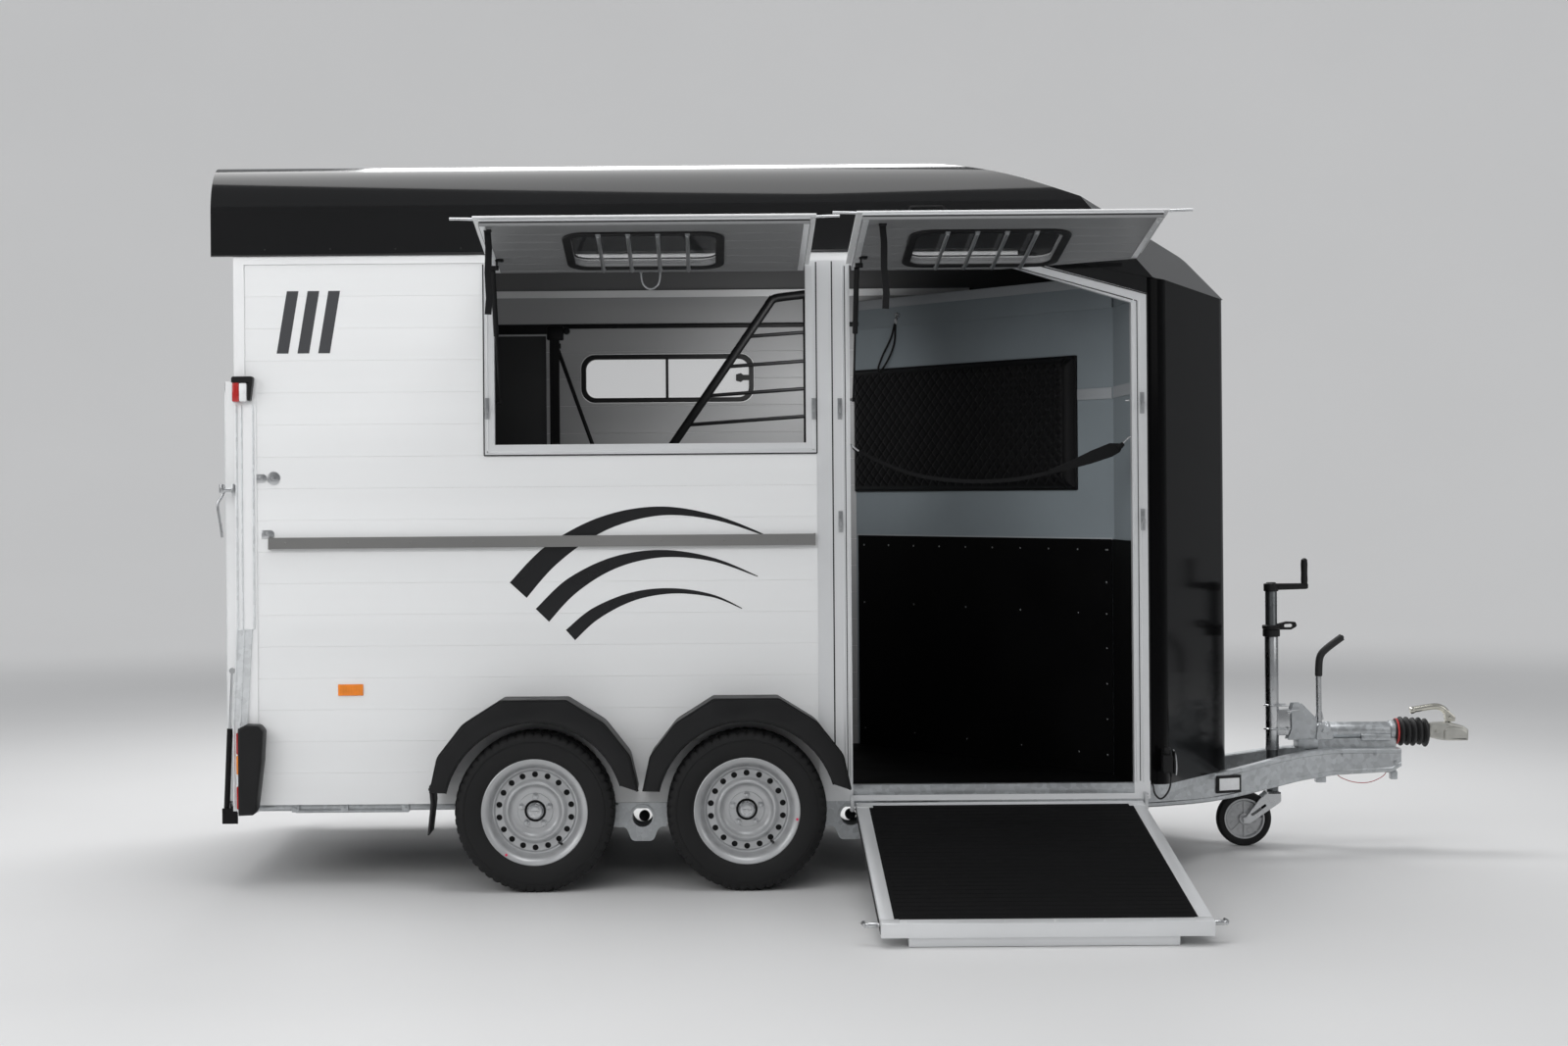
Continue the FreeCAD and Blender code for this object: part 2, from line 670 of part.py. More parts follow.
def roof_block(name, inset, drop):
    """The roof as a solid: side view, rear view and hipped plan cut by each other."""
    top = s.roof_top - inset
    side = prism(name + "_side", "XZ_Plane", [[
        (s.roof_rear, s.wall_top + s.rail_height - drop),
        (s.frame_cut, s.wall_top + s.rail_height - drop),
        (s.frame_front, s.crease_side - drop), (s.nose_tip, s.crease_tip - drop),
        (s.roof_brow + (s.nose_tip - s.roof_brow) * 0.999, s.crease_tip),
        (s.roof_brow - inset * 0.4, s.crease_tip + s.brow_rise - inset, 150),
        (s.roof_bend, top, 1500), (s.roof_rear, top - 4),
    ]], -s.roof_half - 20, s.roof_half + 20)
    half = s.roof_half - inset
    low = s.crease_tip - drop - 10
    section = prism(name + "_section", "YZ_Plane", [[
        (-half, low), (half, low), (half, top, s.roof_round - inset),
        (-half, top, s.roof_round - inset),
    ]], s.roof_rear, s.nose_tip + 5)
    hips = new_body(name + "_hips")
    levels = (low, top + 10)
    rise = (s.roof_top - s.crease_tip)
    sketches = []
    for level in levels:
        back = (level - s.crease_tip) * (s.hip_back / rise)
        corners = plan(inset, s.roof_rear)
        loop = [
            (s.roof_rear, -half), (corners[1][0] - back, -half),
            (corners[2][0] - back, corners[2][1]), (corners[3][0] - back, corners[3][1]),
            (corners[4][0] - back, half), (s.roof_rear, half),
        ]
        sketches.append(draw(hips, "XY_Plane", level, [loop]))
    loft = hips.newObject("PartDesign::AdditiveLoft", name + "_loft")
    loft.Profile = sketches[0]
    loft.Sections = sketches[1:]
    loft.Ruled = True
    return common(name, side, section, hips)


def make_roof():
    outer = roof_block("roof_outer", 0, 0)
    inner = roof_block("roof_inner", s.roof_thick, 40)
    seat(cut("roof", outer, inner), "roof_shell")


def make_rear_frame():
    outer = s.half_width + s.rail_proud
    half = outer - s.post_width
    ring = prism("rear_ring", "YZ_Plane", [
        rectangle(-outer, 280, outer, s.wall_top + s.rail_height),
        rectangle(-half, s.door_sill, half, s.wall_top - 44),
    ], 0, s.post_depth)
    wraps = [
        box(f"rear_wrap_{name}", (s.post_depth, low, 280), (s.post_wrap, high, s.ramp_top))
        for name, low, high in (("right", -outer, -s.half_width), ("left", s.half_width, outer))
    ]
    seat(fuse("rear_frame", ring, *wraps), "rear_frame")
    sheet_half = half - 0.3
    blind = box("blind_sheet", (8, -sheet_half, s.ramp_top - 60),
                (12, sheet_half, s.wall_top - 44.3))
    bar = box("blind_bar", (2, -sheet_half, s.ramp_top - 90), (22, sheet_half, s.ramp_top - 60))
    seat(fuse("blind", blind, bar), "rear_blind")


def hinge_rod(name, radius, start, axis, length, ears):
    """A fixed rod with the ears that carry it. An ear is its two corners."""
    pin = rod(name + "_rod", radius, start, axis, length)
    plates = [box(f"{name}_ear{i}", low, high) for i, (low, high) in enumerate(ears, start=1)]
    return fuse(name, pin, *plates)


def make_rear_ramp():
    half, thick = s.rear_ramp_half, s.rear_ramp_thick
    knuckle = thick / 2
    body = new_body("rear_ramp_panel")
    pad(body, "YZ_Plane", [rectangle(-half, 0, half, s.ramp_top - s.rear_ramp_hinge)],
        -knuckle, knuckle)
    pad(body, "XZ_Plane", [("circle", 0, 0, knuckle)], -half, half)
    pocket(body, "XZ_Plane", [("circle", 0, 0, s.ramp_pin_r + s.pin_play)], -half, half)
    root_in = 8
    studs = [
        rod(f"lift_stud_{i}", s.lift_pin_r, (s.lift_pin_r, start, s.lift_reach), "Y",
            s.lift_beside)
        for i, start in enumerate((-(half + s.lift_beside - root_in), half - root_in), start=1)
    ]
    hinge_back = s.panel_gap + knuckle
    seat(fuse("rear_ramp", body, *studs), "rear_ramp", at=(-hinge_back, 0, s.rear_ramp_hinge))
    outer = half + 23
    ears = [
        ((-hinge_back - 10, low, s.rear_ramp_hinge - 16), (0, low + 15, s.rear_ramp_hinge + 16))
        for low in (-outer, outer - 15)
    ]
    pin = hinge_rod("rear_hinge", s.ramp_pin_r, (-hinge_back, -outer, s.rear_ramp_hinge), "Y",
                    2 * outer, ears)
    HINGES.append(pin)


def make_rear_lifts():
    """Gas struts beside the rear ramp: cylinder below on the frame, rod up to the ramp's stud."""
    foot = (-s.lift_foot_back, s.lift_foot_height)
    stud = (s.lift_pin_r - s.panel_gap - s.rear_ramp_thick / 2, s.rear_ramp_hinge + s.lift_reach)
    run, rise = stud[0] - foot[0], stud[1] - foot[1]
    length = root(run * run + rise * rise)
    turn = ((0, 1, 0), angle_of(run, rise))
    lift_side = s.rear_ramp_half + s.lift_beside
    eye_half, plate_thick = 8, 8
    tube_clear = s.lift_tube_r + 1
    cylinders, rods = [], []
    for name, side in (("right", RIGHT), ("left", LEFT)):
        middle = side * lift_side
        tube = rod(f"lift_tube_{name}", s.lift_tube_r, (0, middle, 12), "Z", s.lift_tube)
        eye = rod(f"lift_eye_{name}", 14, (0, middle - eye_half, 0), "Y", 2 * eye_half)
        hole = rod(f"lift_hole_{name}", s.lift_pin_r + s.pin_play, (0, middle - eye_half, 0), "Y",
                   2 * eye_half)
        bore = rod(f"lift_bore_{name}", s.lift_rod_r + s.pin_play, (0, middle, 20), "Z",
                   s.lift_tube)
        cylinders.append(cut(f"lift_cylinder_{name}", fuse(f"lift_body_{name}", tube, eye),
                             hole, bore))
        bar = rod(f"lift_bar_{name}", s.lift_rod_r, (0, middle, length - s.lift_tube), "Z",
                  s.lift_tube)
        knob = rod(f"lift_knob_{name}", 11, (0, middle - 6, length), "Y", 12)
        rods.append(fuse(f"lift_rod_{name}", bar, knob))
        low = middle + (tube_clear if side == LEFT else -1 * (tube_clear + plate_thick))
        plate = box(f"lift_plate_{name}", (-s.lift_foot_back - 12, low, s.lift_foot_height - 14),
                    (0, low + plate_thick, s.lift_foot_height + 44))
        start = middle - (eye_half if side == LEFT else tube_clear + 2)
        pin = rod(f"lift_pin_{name}", s.lift_pin_r, (foot[0], start, foot[1]), "Y",
                  eye_half + tube_clear + 2)
        MOUNTS.append(fuse(f"lift_mount_{name}", plate, pin))
    at = (foot[0], 0, foot[1])
    seat(group("lift_cylinder_set", *cylinders), "rear_strut_cylinders", at=at, turn=turn)
    seat(group("lift_rod_set", *rods), "rear_strut_rods", at=at, turn=turn)


def make_side_ramp():
    """Made closed, in the hinge's own frame, then laid open with its foot on the ground."""
    rear, front, length = s.side_ramp_rear, s.side_ramp_front, s.side_ramp_length
    half, edge = s.side_ramp_thick / 2, s.side_ramp_edge
    board = rectangle(rear + edge, 34, front - edge, length - edge)
    body = new_body("side_ramp_panel")
    pad(body, "XZ_Plane", [rectangle(rear, 0, front, length), board], -half, half)
    pad(body, "XZ_Plane", [board], s.mat_recess - half, half - s.mat_recess)
    pad(body, "YZ_Plane", [("circle", 0, 0, 18)], rear, front)
    pocket(body, "YZ_Plane", [("circle", 0, 0, s.ramp_pin_r + s.pin_play)], rear, front)
    levers = [
        rod(f"ramp_lever_{i}", 6, (start, 0, length - 60), "X", 60)
        for i, start in enumerate((rear - 48, front - 12), start=1)
    ]
    reach, depth = length - 10, half + s.side_ramp_foot
    slant = root(reach * reach + depth * depth)
    slope = arcsine((s.side_ramp_hinge - s.ground_play) / slant) - angle_of(depth, reach)
    hinge = (0, -(s.half_width + s.rail_proud + s.panel_gap + half), s.side_ramp_hinge)
    foot = box("ramp_foot", (rear + 90, -1 * depth, reach - 50), (front - 110, -half, reach))
    seat(fuse("side_ramp", body, foot, *levers), "side_ramp", at=hinge,
         turn=((1, 0, 0), 90 + slope))
    face = -(s.half_width + s.rail_proud)
    ears = [
        ((start, hinge[1] - 10, s.side_ramp_hinge - 10), (start + 12, face, s.wall_bottom + 25))
        for start in (rear - 20, front + 8)
    ]
    pin = hinge_rod("side_hinge", s.ramp_pin_r, (rear - 20, hinge[1], s.side_ramp_hinge), "X",
                    front - rear + 40, ears)
    HINGES.append(pin)


def flap_panel(name, skin_outline, outline, pin_span, pane, length):
    """A flap with its pane's hole, hinge knuckle, strut bracket and catch rods, hung closed."""
    outer, inner = s.flap_out, s.flap_out + s.flap_thick
    skin = outer + s.flap_skin
    body = new_body(name + "_body")
    pad(body, "XZ_Plane", [skin_outline, pane], outer, skin)
    pad(body, "XZ_Plane", [outline, pane], skin, inner)
    knuckle = s.knuckle_r
    pad(body, "YZ_Plane", [[
        (-knuckle, -30), (outer + 1, -30), (outer + 1, s.flap_top), (knuckle, -4), (knuckle, 0),
        (-knuckle, 0)]], *pin_span)
    pad(body, "YZ_Plane", [("circle", 0, 0, knuckle)], *pin_span)
    pocket(body, "YZ_Plane", [("circle", 0, 0, s.pin_r + s.pin_play)], *pin_span)
    rear, front = outline[0][0], outline[1][0]
    stay_x = rear - s.panel_gap + s.stay_offset
    block = box(name + "_block", (stay_x + 10, inner, -s.stay_reach - 14),
                (stay_x + 38, inner + s.stay_inset + 10, -s.stay_reach + 14))
    pin = rod(name + "_pin", s.stay_pin_r,
              (stay_x - 8, inner + s.stay_inset, -s.stay_reach), "X", 20)
    reach = s.flap_lap + s.catch_length
    catches = [
        rod(f"{name}_catch{i}", s.catch_r, (start, outer + 0.7, -length + 15), "X", reach + 30)
        for i, start in enumerate((rear - reach, front - 30), start=1)
    ]
    return fuse(name + "_set", body, block, pin, *catches)


def make_flap(name, skin_outline, outline, pin_front, pane_rear, pane_margin):
    hinge = (0, -(s.half_width + s.rail_proud + s.flap_pin_out), s.flap_hinge)
    turn = ((1, 0, 0), -(90 + s.flap_tilt))
    rear, length = outline[0][0], -outline[0][1]
    low = pane_margin - length
    pane_height = length - pane_margin - s.pane_drop
    pane = rectangle(pane_rear, low, pane_rear + s.pane_length, -s.pane_drop, 60)
    span = (rear + 24, pin_front - 24)
    inner = s.flap_out + s.flap_thick
    glass = prism(name + "_pane", "XZ_Plane", [pane], inner - 16, inner - 11)
    seat(glass, name + "_flap_pane", at=hinge, turn=turn)
    bars = []
    for i in range(4):
        x = pane_rear + s.pane_length * (0.2 + 0.2 * i)
        bars.append(rod(f"{name}_bar{i}", s.bar_r, (x, inner + 12, low - 18), "Z",
                        pane_height + 36))
        for end, z in (("low", low - 12), ("high", 12 - s.pane_drop)):
            bars.append(rod(f"{name}_foot_{end}{i}", s.bar_r - 1, (x, inner, z), "Y", 12))
    panel = flap_panel(name + "_flap", skin_outline, outline, span, pane, length)
    seat(fuse(name + "_barred", panel, *bars), name + "_flap", at=hinge, turn=turn)
    make_flap_stay(name, rear)
    ears = [
        ((start, hinge[1] - s.knuckle_r, s.door_head),
         (start + 8, -(s.half_width + s.rail_proud), s.flap_hinge + s.knuckle_r))
        for start in (rear + 8, pin_front - 16)
    ]
    return hinge_rod(name + "_hinge", s.pin_r, (rear + 8, hinge[1], s.flap_hinge), "X",
                     pin_front - rear - 16, ears)


def make_flap_stay(name, rear):
    """Gas strut: cylinder on the flap's pin, rod down beside the stud on the jamb."""
    x = rear - s.panel_gap + s.stay_offset
    turn = 90 + s.flap_tilt
    out = s.flap_out + s.flap_thick + s.stay_inset
    face = -(s.half_width + s.rail_proud + s.flap_pin_out)
    pin_y = face + out * cosine(turn) - s.stay_reach * sine(turn)
    pin_z = s.flap_hinge - out * sine(turn) - s.stay_reach * cosine(turn)
    stud_y, stud_z = face + out, s.flap_hinge - s.stay_drop
    run, rise = stud_y - pin_y, stud_z - pin_z
    length = root(run * run + rise * rise)
    lean = ((1, 0, 0), angle_of(-run, rise))
    tube = rod(f"{name}_stay_tube", s.stay_tube_r, (0, 0, 10), "Z", s.stay_tube)
    eye = rod(f"{name}_stay_eye", 9, (-6, 0, 0), "X", 12)
    hole = rod(f"{name}_stay_hole", s.stay_pin_r + s.pin_play, (-6, 0, 0), "X", 12)
    bore = rod(f"{name}_stay_bore", s.stay_rod_r + s.pin_play, (0, 0, 18), "Z", s.stay_tube)
    seat(cut(f"{name}_stay_cylinder", fuse(f"{name}_stay_body", tube, eye), hole, bore),
         f"{name}_strut_cylinder", at=(x, pin_y, pin_z), turn=lean)
    start = s.stay_tube + 10 - s.stay_overlap
    bar = rod(f"{name}_stay_bar", s.stay_rod_r, (0, 0, start), "Z", length - start)
    knob = rod(f"{name}_stay_knob", 8, (-6, 0, length), "X", 12)
    seat(fuse(f"{name}_stay_rod", bar, knob), f"{name}_strut_rod", at=(x, pin_y, pin_z),
         turn=lean)
    edge = rear - s.panel_gap
    inner = -(s.half_width - s.wall_thick)
    block = box(f"{name}_stud_block", (edge - 24, inner, stud_z - 12),
                (edge, stud_y + 8, stud_z + 12))
    stud = rod(f"{name}_stud_pin", 5, (edge - 4, stud_y, stud_z), "X", s.stay_offset - 4)
    MOUNTS.append(fuse(f"{name}_stud", block, stud))


def make_flaps():
    gap, lap, top = s.panel_gap, s.flap_lap, s.flap_top
    rear, front = s.window_rear + s.frame_face + gap, s.door_post_rear - s.frame_face - gap
    length = s.flap_hinge - s.window_sill - s.frame_face - gap
    hinges = [make_flap("window", rectangle(rear - lap, -length, front + lap, top),
                        rectangle(rear, -length, front, top), front, s.pane_window,
                        s.pane_margin)]
    rear, front = s.door_post_front + gap, s.door_front - gap
    length = s.flap_hinge - s.side_ramp_hinge - s.side_ramp_length - s.flap_ramp_gap
    slope = (s.door_head - s.door_cut_low) / (s.door_front - s.door_cut_top)
    corner = top - (front - s.door_cut_top) * slope
    skin_outline = [
        (rear - lap, -length), (front + lap, -length), (front + lap, corner + lap * 0.8),
        (s.door_cut_top + lap * 3, top), (rear - lap, top)]
    outline = [(rear, -length), (front, -length), (front, corner), (s.door_cut_top, top),
               (rear, top)]
    hinges.append(make_flap("door", skin_outline, outline, s.door_cut_top - 40, s.pane_door,
                            s.pane_margin_door))
    HINGES.extend(hinges)


def make_tack_door():
    """Made closed, in the frame of its hinge at the front edge."""
    lap = 15
    width = s.tack_door_front - s.tack_door_rear + 2 * lap
    height = s.tack_door_high - s.tack_door_low + 2 * lap
    thick, gap = s.tack_door_thick, s.panel_gap
    body = new_body("tack_panel")
    pad(body, "XZ_Plane", [rectangle(-width, 0, -4, height, 40)], -thick / 2, thick / 2)
    pad(body, "XY_Plane", [("circle", 0, 0, 11)], 0, height)
    pad(body, "XY_Plane", [rectangle(-14, -8, 0, 8)], 0, height)
    pocket(body, "XY_Plane", [("circle", 0, 0, s.pin_r + s.pin_play)], 0, height)
    hinge = (s.tack_door_front + lap, s.half_width + gap + thick / 2, s.tack_door_low - lap)
    seat(body, "tack_door", at=hinge)
    ears = [
        ((hinge[0] - 8, s.half_width, low), (hinge[0] + 8, hinge[1] + 8, low + 10))
        for low in (hinge[2] - 16, hinge[2] + height + 6)
    ]
    pin = hinge_rod("tack_hinge", s.pin_r, (hinge[0], hinge[1], hinge[2] - 16), "Z",
                    height + 32, ears)
    HINGES.append(pin)


# Running gear

def wheel_places():
    for axle, station in (("front", s.axle_front), ("rear", s.axle_rear)):
        for name, side in (("right", RIGHT), ("left", LEFT)):
            yield axle, name, side, station


def tyre_profile():
    """Half section of the tyre as (radius, along the axle)."""
    half, seat_r = s.tyre_width / 2, s.rim_flange_r - 17
    outer = [
        (seat_r, 67.7), (s.rim_flange_r + 0.5, 72.5), (s.wheel_radius - 37, half),
        (s.wheel_radius, half - 16),
    ]
    return [(radius, -1 * along) for radius, along in outer] + outer[::-1]


def rim_profile(side):
    """Half section of rim, disc, hub and brake drum, with the disc's face to the outside."""
    bore, seat_r = s.spindle_r + s.pin_play, s.rim_flange_r - 17
    barrel_r, flange_r, seat_end, edge = seat_r - 7, s.rim_flange_r, 73, 78
    drum_r, hub_r, crest_r, crest_in, plate_r, cap_r = 115, 76, 113, 95, 66, 28
    drum_end, drum_face, disc_in, disc_out = -100, -24, 18, 24
    crest, plate, cap = disc_out + 12, disc_out + 4, 52
    section = [
        (bore, drum_end), (drum_r, drum_end), (drum_r, drum_face), (hub_r, drum_face),
        (hub_r, disc_in), (barrel_r, disc_in), (barrel_r, -1 * edge), (flange_r, -1 * edge),
        (flange_r, -1 * seat_end), (seat_r - s.seat_gap, -1 * seat_end),
        (seat_r - s.seat_gap, seat_end), (flange_r, seat_end), (flange_r, edge),
        (barrel_r, edge), (barrel_r, disc_out), (crest_r, disc_out), (crest_r, crest),
        (crest_in, crest), (crest_in, disc_out), (plate_r, disc_out), (plate_r, plate),
        (cap_r, plate), (cap_r, cap), (0, cap), (0, cap - 12), (bore, cap - 12),
    ]
    return [(radius, along * side) for radius, along in section]


def make_wheels():
    hole_count, hole_r, hole_circle = 16, 10.5, s.rim_flange_r - 50
    for axle, name, side, station in wheel_places():
        at = (station, side * s.track_half, s.wheel_radius)
        tyre = new_body(f"tyre_{axle}_{name}")
        turned(tyre, [tyre_profile()])
        seat(tyre, f"tyre_{axle}_{name}", at=at)
        rim = new_body(f"rim_{axle}_{name}")
        turned(rim, [rim_profile(side)])
        holes = []
        for i in range(hole_count):
            turn = 360 / hole_count * (i + 0.5)
            holes.append(("circle", hole_circle * math.cos(math.radians(turn)),
                          hole_circle * math.sin(math.radians(turn)), hole_r))
        low, high = (10, 30) if side == LEFT else (-30, -10)
        pocket(rim, "XZ_Plane", holes, low, high)
        seat(rim, f"rim_{axle}_{name}", at=at)


def make_axles():
    halves = []
    for axle, station in (("front", s.axle_front), ("rear", s.axle_rear)):
        pivot = station + s.arm_length
        stub_z = s.pivot_height + 8
        for name, side in (("right", RIGHT), ("left", LEFT)):
            tag = f"{axle}_{name}"
            w = side

            def along(low, high):
                """Start and length along Y, counted outward from the centre line."""
                return (low if w == LEFT else -high), high - low

            start, length = along(s.chassis_half + 1, s.half_width - 4)
            tube = rod(f"tube_{tag}", s.arm_tube_r, (pivot, start, s.pivot_height), "Y", length)
            arm_low = s.half_width - 52
            start, length = along(arm_low, arm_low + 32)
            arm = prism(f"arm_{tag}", "XZ_Plane", [[
                (station - 34, stub_z - 30, 28), (pivot, s.pivot_height - s.arm_tube_r + 1),
                (pivot, s.pivot_height + s.arm_tube_r - 1), (station - 34, stub_z + 30, 28),
            ]], start, start + length)
            start, length = along(arm_low + 30, s.half_width + 8)
            stub = rod(f"stub_{tag}", 28, (station, start, stub_z), "Y", length)
            start, length = along(s.half_width + 8, s.half_width + 14)
            plate = rod(f"plate_{tag}", 112, (station, start, s.wheel_radius), "Y", length)
            start, length = along(s.half_width + 14, s.track_half + 38)
            spindle = rod(f"spindle_{tag}", s.spindle_r, (station, start, s.wheel_radius), "Y",
                          length)
            start, length = along(s.chassis_half - 5, s.half_width + 5)
            hollow = rod(f"hollow_{tag}", s.arm_tube_r - 8, (pivot, start, s.pivot_height), "Y",
                         length)
            whole = fuse(f"swing_{tag}", tube, arm, stub, plate, spindle)
            halves.append(cut(f"swing_arm_{tag}", whole, hollow))
    seat(group("swing_arm_set", *halves), "swing_arms")


def make_axle_brackets():
    """Upside-down U plates with a lobe below each swing arm's pivot, under the floor's edge."""
    brackets = []
    top, thick = s.wall_bottom - 2, 6
    half, lobe_half, lobe_drop = 91, 46, 91
    for axle, name, side, station in wheel_places():
        pivot = station + s.arm_length
        edge = s.pivot_height - 38
        inner, outer = s.chassis_half, s.half_width - 10
        ys = [inner, outer] if side == LEFT else [-outer, -inner]
        body = new_body(f"bracket_{axle}_{name}")
        outline = [
            (pivot - half, top), (pivot - half, edge), (pivot - lobe_half - 16, edge, 24),
            (pivot - lobe_half + 6, s.pivot_height - lobe_drop, 20),
            (pivot + lobe_half - 6, s.pivot_height - lobe_drop, 20),
            (pivot + lobe_half + 16, edge, 24), (pivot + half, edge), (pivot + half, top),
        ]
        hole = ("circle", pivot, s.pivot_height, s.arm_tube_r + 0.4)
        pad(body, "XZ_Plane", [outline, hole], ys[0], ys[0] + thick)
        pad(body, "XZ_Plane", [outline, hole], ys[1] - thick, ys[1])
        pad(body, "XZ_Plane", [rectangle(pivot - half, top - 4, pivot + half, top)], *ys)
        brackets.append(body)
    seat(group("axle_bracket_set", *brackets), "axle_brackets")


def make_mudguards():
    """Half arches over the wheels. The front one laps the door frame, which stands proud."""
    arches = []
    for name, side in (("right", RIGHT), ("left", LEFT)):
        low, high = s.half_width + s.seat_gap, s.guard_out
        ys = (low, high) if side == LEFT else (-1 * high, -1 * low)
        skirt = (high - s.guard_thick, high) if side == LEFT else (-high, s.guard_thick - high)
        for axle, station in (("front", s.axle_front), ("rear", s.axle_rear)):
            outline = guard_outline(station, 0)
            inner = guard_outline(station, s.guard_thick)
            body = new_body(f"guard_{axle}_{name}")
            pad(body, "XZ_Plane", [outline + inner[::-1]], *ys)
            plate = prism(f"guard_plate_{axle}_{name}", "XZ_Plane", [outline], *skirt)
            hub = rod(f"guard_hole_{axle}_{name}", s.guard_arch,
                      (station, ys[0] - 1, s.wheel_radius), "Y", high - low + 2)
            arch = fuse(f"guard_arch_{axle}_{name}", body,
                        cut(f"guard_skirt_{axle}_{name}", plate, hub))
            if axle == "front" and side == RIGHT:
                frame = box("guard_step", (s.door_post_rear - 1, -1 * low - s.rail_proud, 0),
                            (station + 500, 0, s.wall_top))
                arch = cut("guard_stepped", arch, frame)
            arches.append(arch)
    seat(group("mudguard_set", *arches), "mudguards")


def guard_outline(station, inset):
    """Half arch over one wheel, open below: side view of the mudguard's moulding."""
    # along from the hub, up from the hub, rounding
    half = [
        (380, s.guard_low, None), (352, 205, 60), (258, 325, 90), (120, s.guard_rise, 40),
    ]
    front, rear = [], []
    for along, up, radius in half:
        slide = inset if radius is None or radius > 40 else inset * 0.4
        drop = 0 if radius is None else inset
        tail = () if radius is None else (radius - inset,)
        front.append((station + along - slide, s.wheel_radius + up - drop) + tail)
        rear.append((station - along + slide, s.wheel_radius + up - drop) + tail)
    return rear + front[::-1]


# Chassis and coupling

def make_chassis():
    """Channel rails below the floor's sides and the members that join them."""
    rails = []
    top, wall = s.floor_top - s.floor_thick, 5
    for name, side in (("right", RIGHT), ("left", LEFT)):
        web = side * s.chassis_half
        web_in = side * (s.chassis_half - wall)
        flange = side * (s.chassis_half - s.rail_section)
        rails.append(prism(f"chassis_rail_{name}", "YZ_Plane", [[
            (web, s.chassis_low), (flange, s.chassis_low), (flange, s.chassis_low + wall),
            (web_in, s.chassis_low + wall), (web_in, top - wall), (flange, top - wall),
            (flange, top), (web, top),
        ]], s.post_depth, s.beam_rear))
    half, width = s.chassis_half - wall + 1, 45
    members = [
        box(f"cross_member_{i}", (station, -1 * half, s.chassis_low + wall + 1),
            (station + width, half, top))
        for i, station in enumerate((60, 760, 1460, 2160, s.beam_rear - 70), start=1)
    ]
    seat(fuse("chassis_set", *rails, *members), "chassis_frame")


def make_drawbar():
    """Two arms that run together at the front, cranked up between two stations."""
    top, lift = s.beam_low + s.beam_height, s.beam_rise
    side_view = prism("beam_side", "XZ_Plane", [[
        (s.beam_rear, s.beam_low), (s.beam_bend, s.beam_low), (s.beam_level, s.beam_low + lift),
        (s.beam_front, s.beam_low + lift), (s.beam_front, top + lift - 2),
        (s.beam_level, top + lift - 2), (s.beam_bend, top), (s.beam_rear, top),
    ]], -s.chassis_half - 10, s.chassis_half + 10)
    front_in = s.beam_apart / 2
    beams = []
    for name, side in (("right", RIGHT), ("left", LEFT)):
        outer, inner = s.chassis_half, s.chassis_half - s.beam_width
        arm = prism(f"beam_plan_{name}", "XY_Plane", [[
            (s.beam_rear, side * outer), (s.beam_front, side * (front_in + s.beam_width)),
            (s.beam_front, side * front_in), (s.beam_rear, side * inner),
        ]], s.beam_low - 10, top + lift + 10)
        beams.append(common(f"beam_{name}", side_view, arm))
    seat(group("drawbar_set", *beams), "drawbar_arms")


def make_overrun():
    """Housing between the arms' front ends, its tube, and the plates for the jockey clamp."""
    base = s.beam_low + s.beam_rise
    high = s.tube_height - s.tube_r + 2
    half = s.beam_apart / 2 - s.seat_gap
    rear = s.beam_level + 10
    housing = new_body("overrun_housing")
    pad(housing, "XZ_Plane", [[
        (rear, base), (s.beam_front, base), (s.housing_front, base + s.housing_rise),
        (s.housing_front, high), (rear, high),
    ]], -1 * half, half)
    brake = s.brake_station
    pad(housing, "XZ_Plane", [[
        (brake - 6, high - 2), (brake + 64, high - 2), (brake + 64, s.tube_height + 44),
        (brake + 14, s.tube_height + 44), (brake - 6, s.tube_height + 20),
    ]], -28, 28)
    pad(housing, "XZ_Plane", [[
        (s.housing_front - 130, high - 2), (s.housing_front - 40, high - 2),
        (s.housing_front - 40, s.tube_height + 42), (s.housing_front - 100, s.tube_height + 42),
    ]], -40, 40)
    tube = rod("overrun_tube", s.tube_r, (s.tube_rear, 0, s.tube_height), "X",
               s.housing_front - s.tube_rear)
    foot, out = high - 2, s.gusset_half
    plates = [
        prism(f"gusset_{i}", "XZ_Plane", [[
            (s.gusset_rear, foot), (s.tube_rear, foot), (s.tube_rear, s.tube_height + 52),
            (s.gusset_rear + 60, s.gusset_top), (s.gusset_rear + 25, s.gusset_top),
        ]], start, start + s.gusset_thick)
        for i, start in enumerate((-1 * out, out - s.gusset_thick), start=1)
    ]
    web = box("gusset_web", (s.tube_rear - 12, -1 * out, foot),
              (s.tube_rear + 3, out, s.tube_height + 38))
    seat(fuse("overrun_unit", housing, tube, web, *plates), "overrun_unit")


def make_bellows():
    folds = 5
    start = s.seat_gap
    pitch = s.bellows_length / folds
    profile = [(start, 0)]
    for i in range(folds):
        profile.append((start + pitch * i, s.bellows_r - 14 - i))
        profile.append((start + pitch * (i + 0.5), s.bellows_r - i * 2))
    end = start + s.bellows_length
    profile += [(end, 38), (end, 0)]
    bellows = new_body("bellows_body")
    turned(bellows, [profile], role="XZ_Plane", axis="H_Axis")
    seat(bellows, "bellows", at=(s.housing_front, 0, s.tube_height - 4))


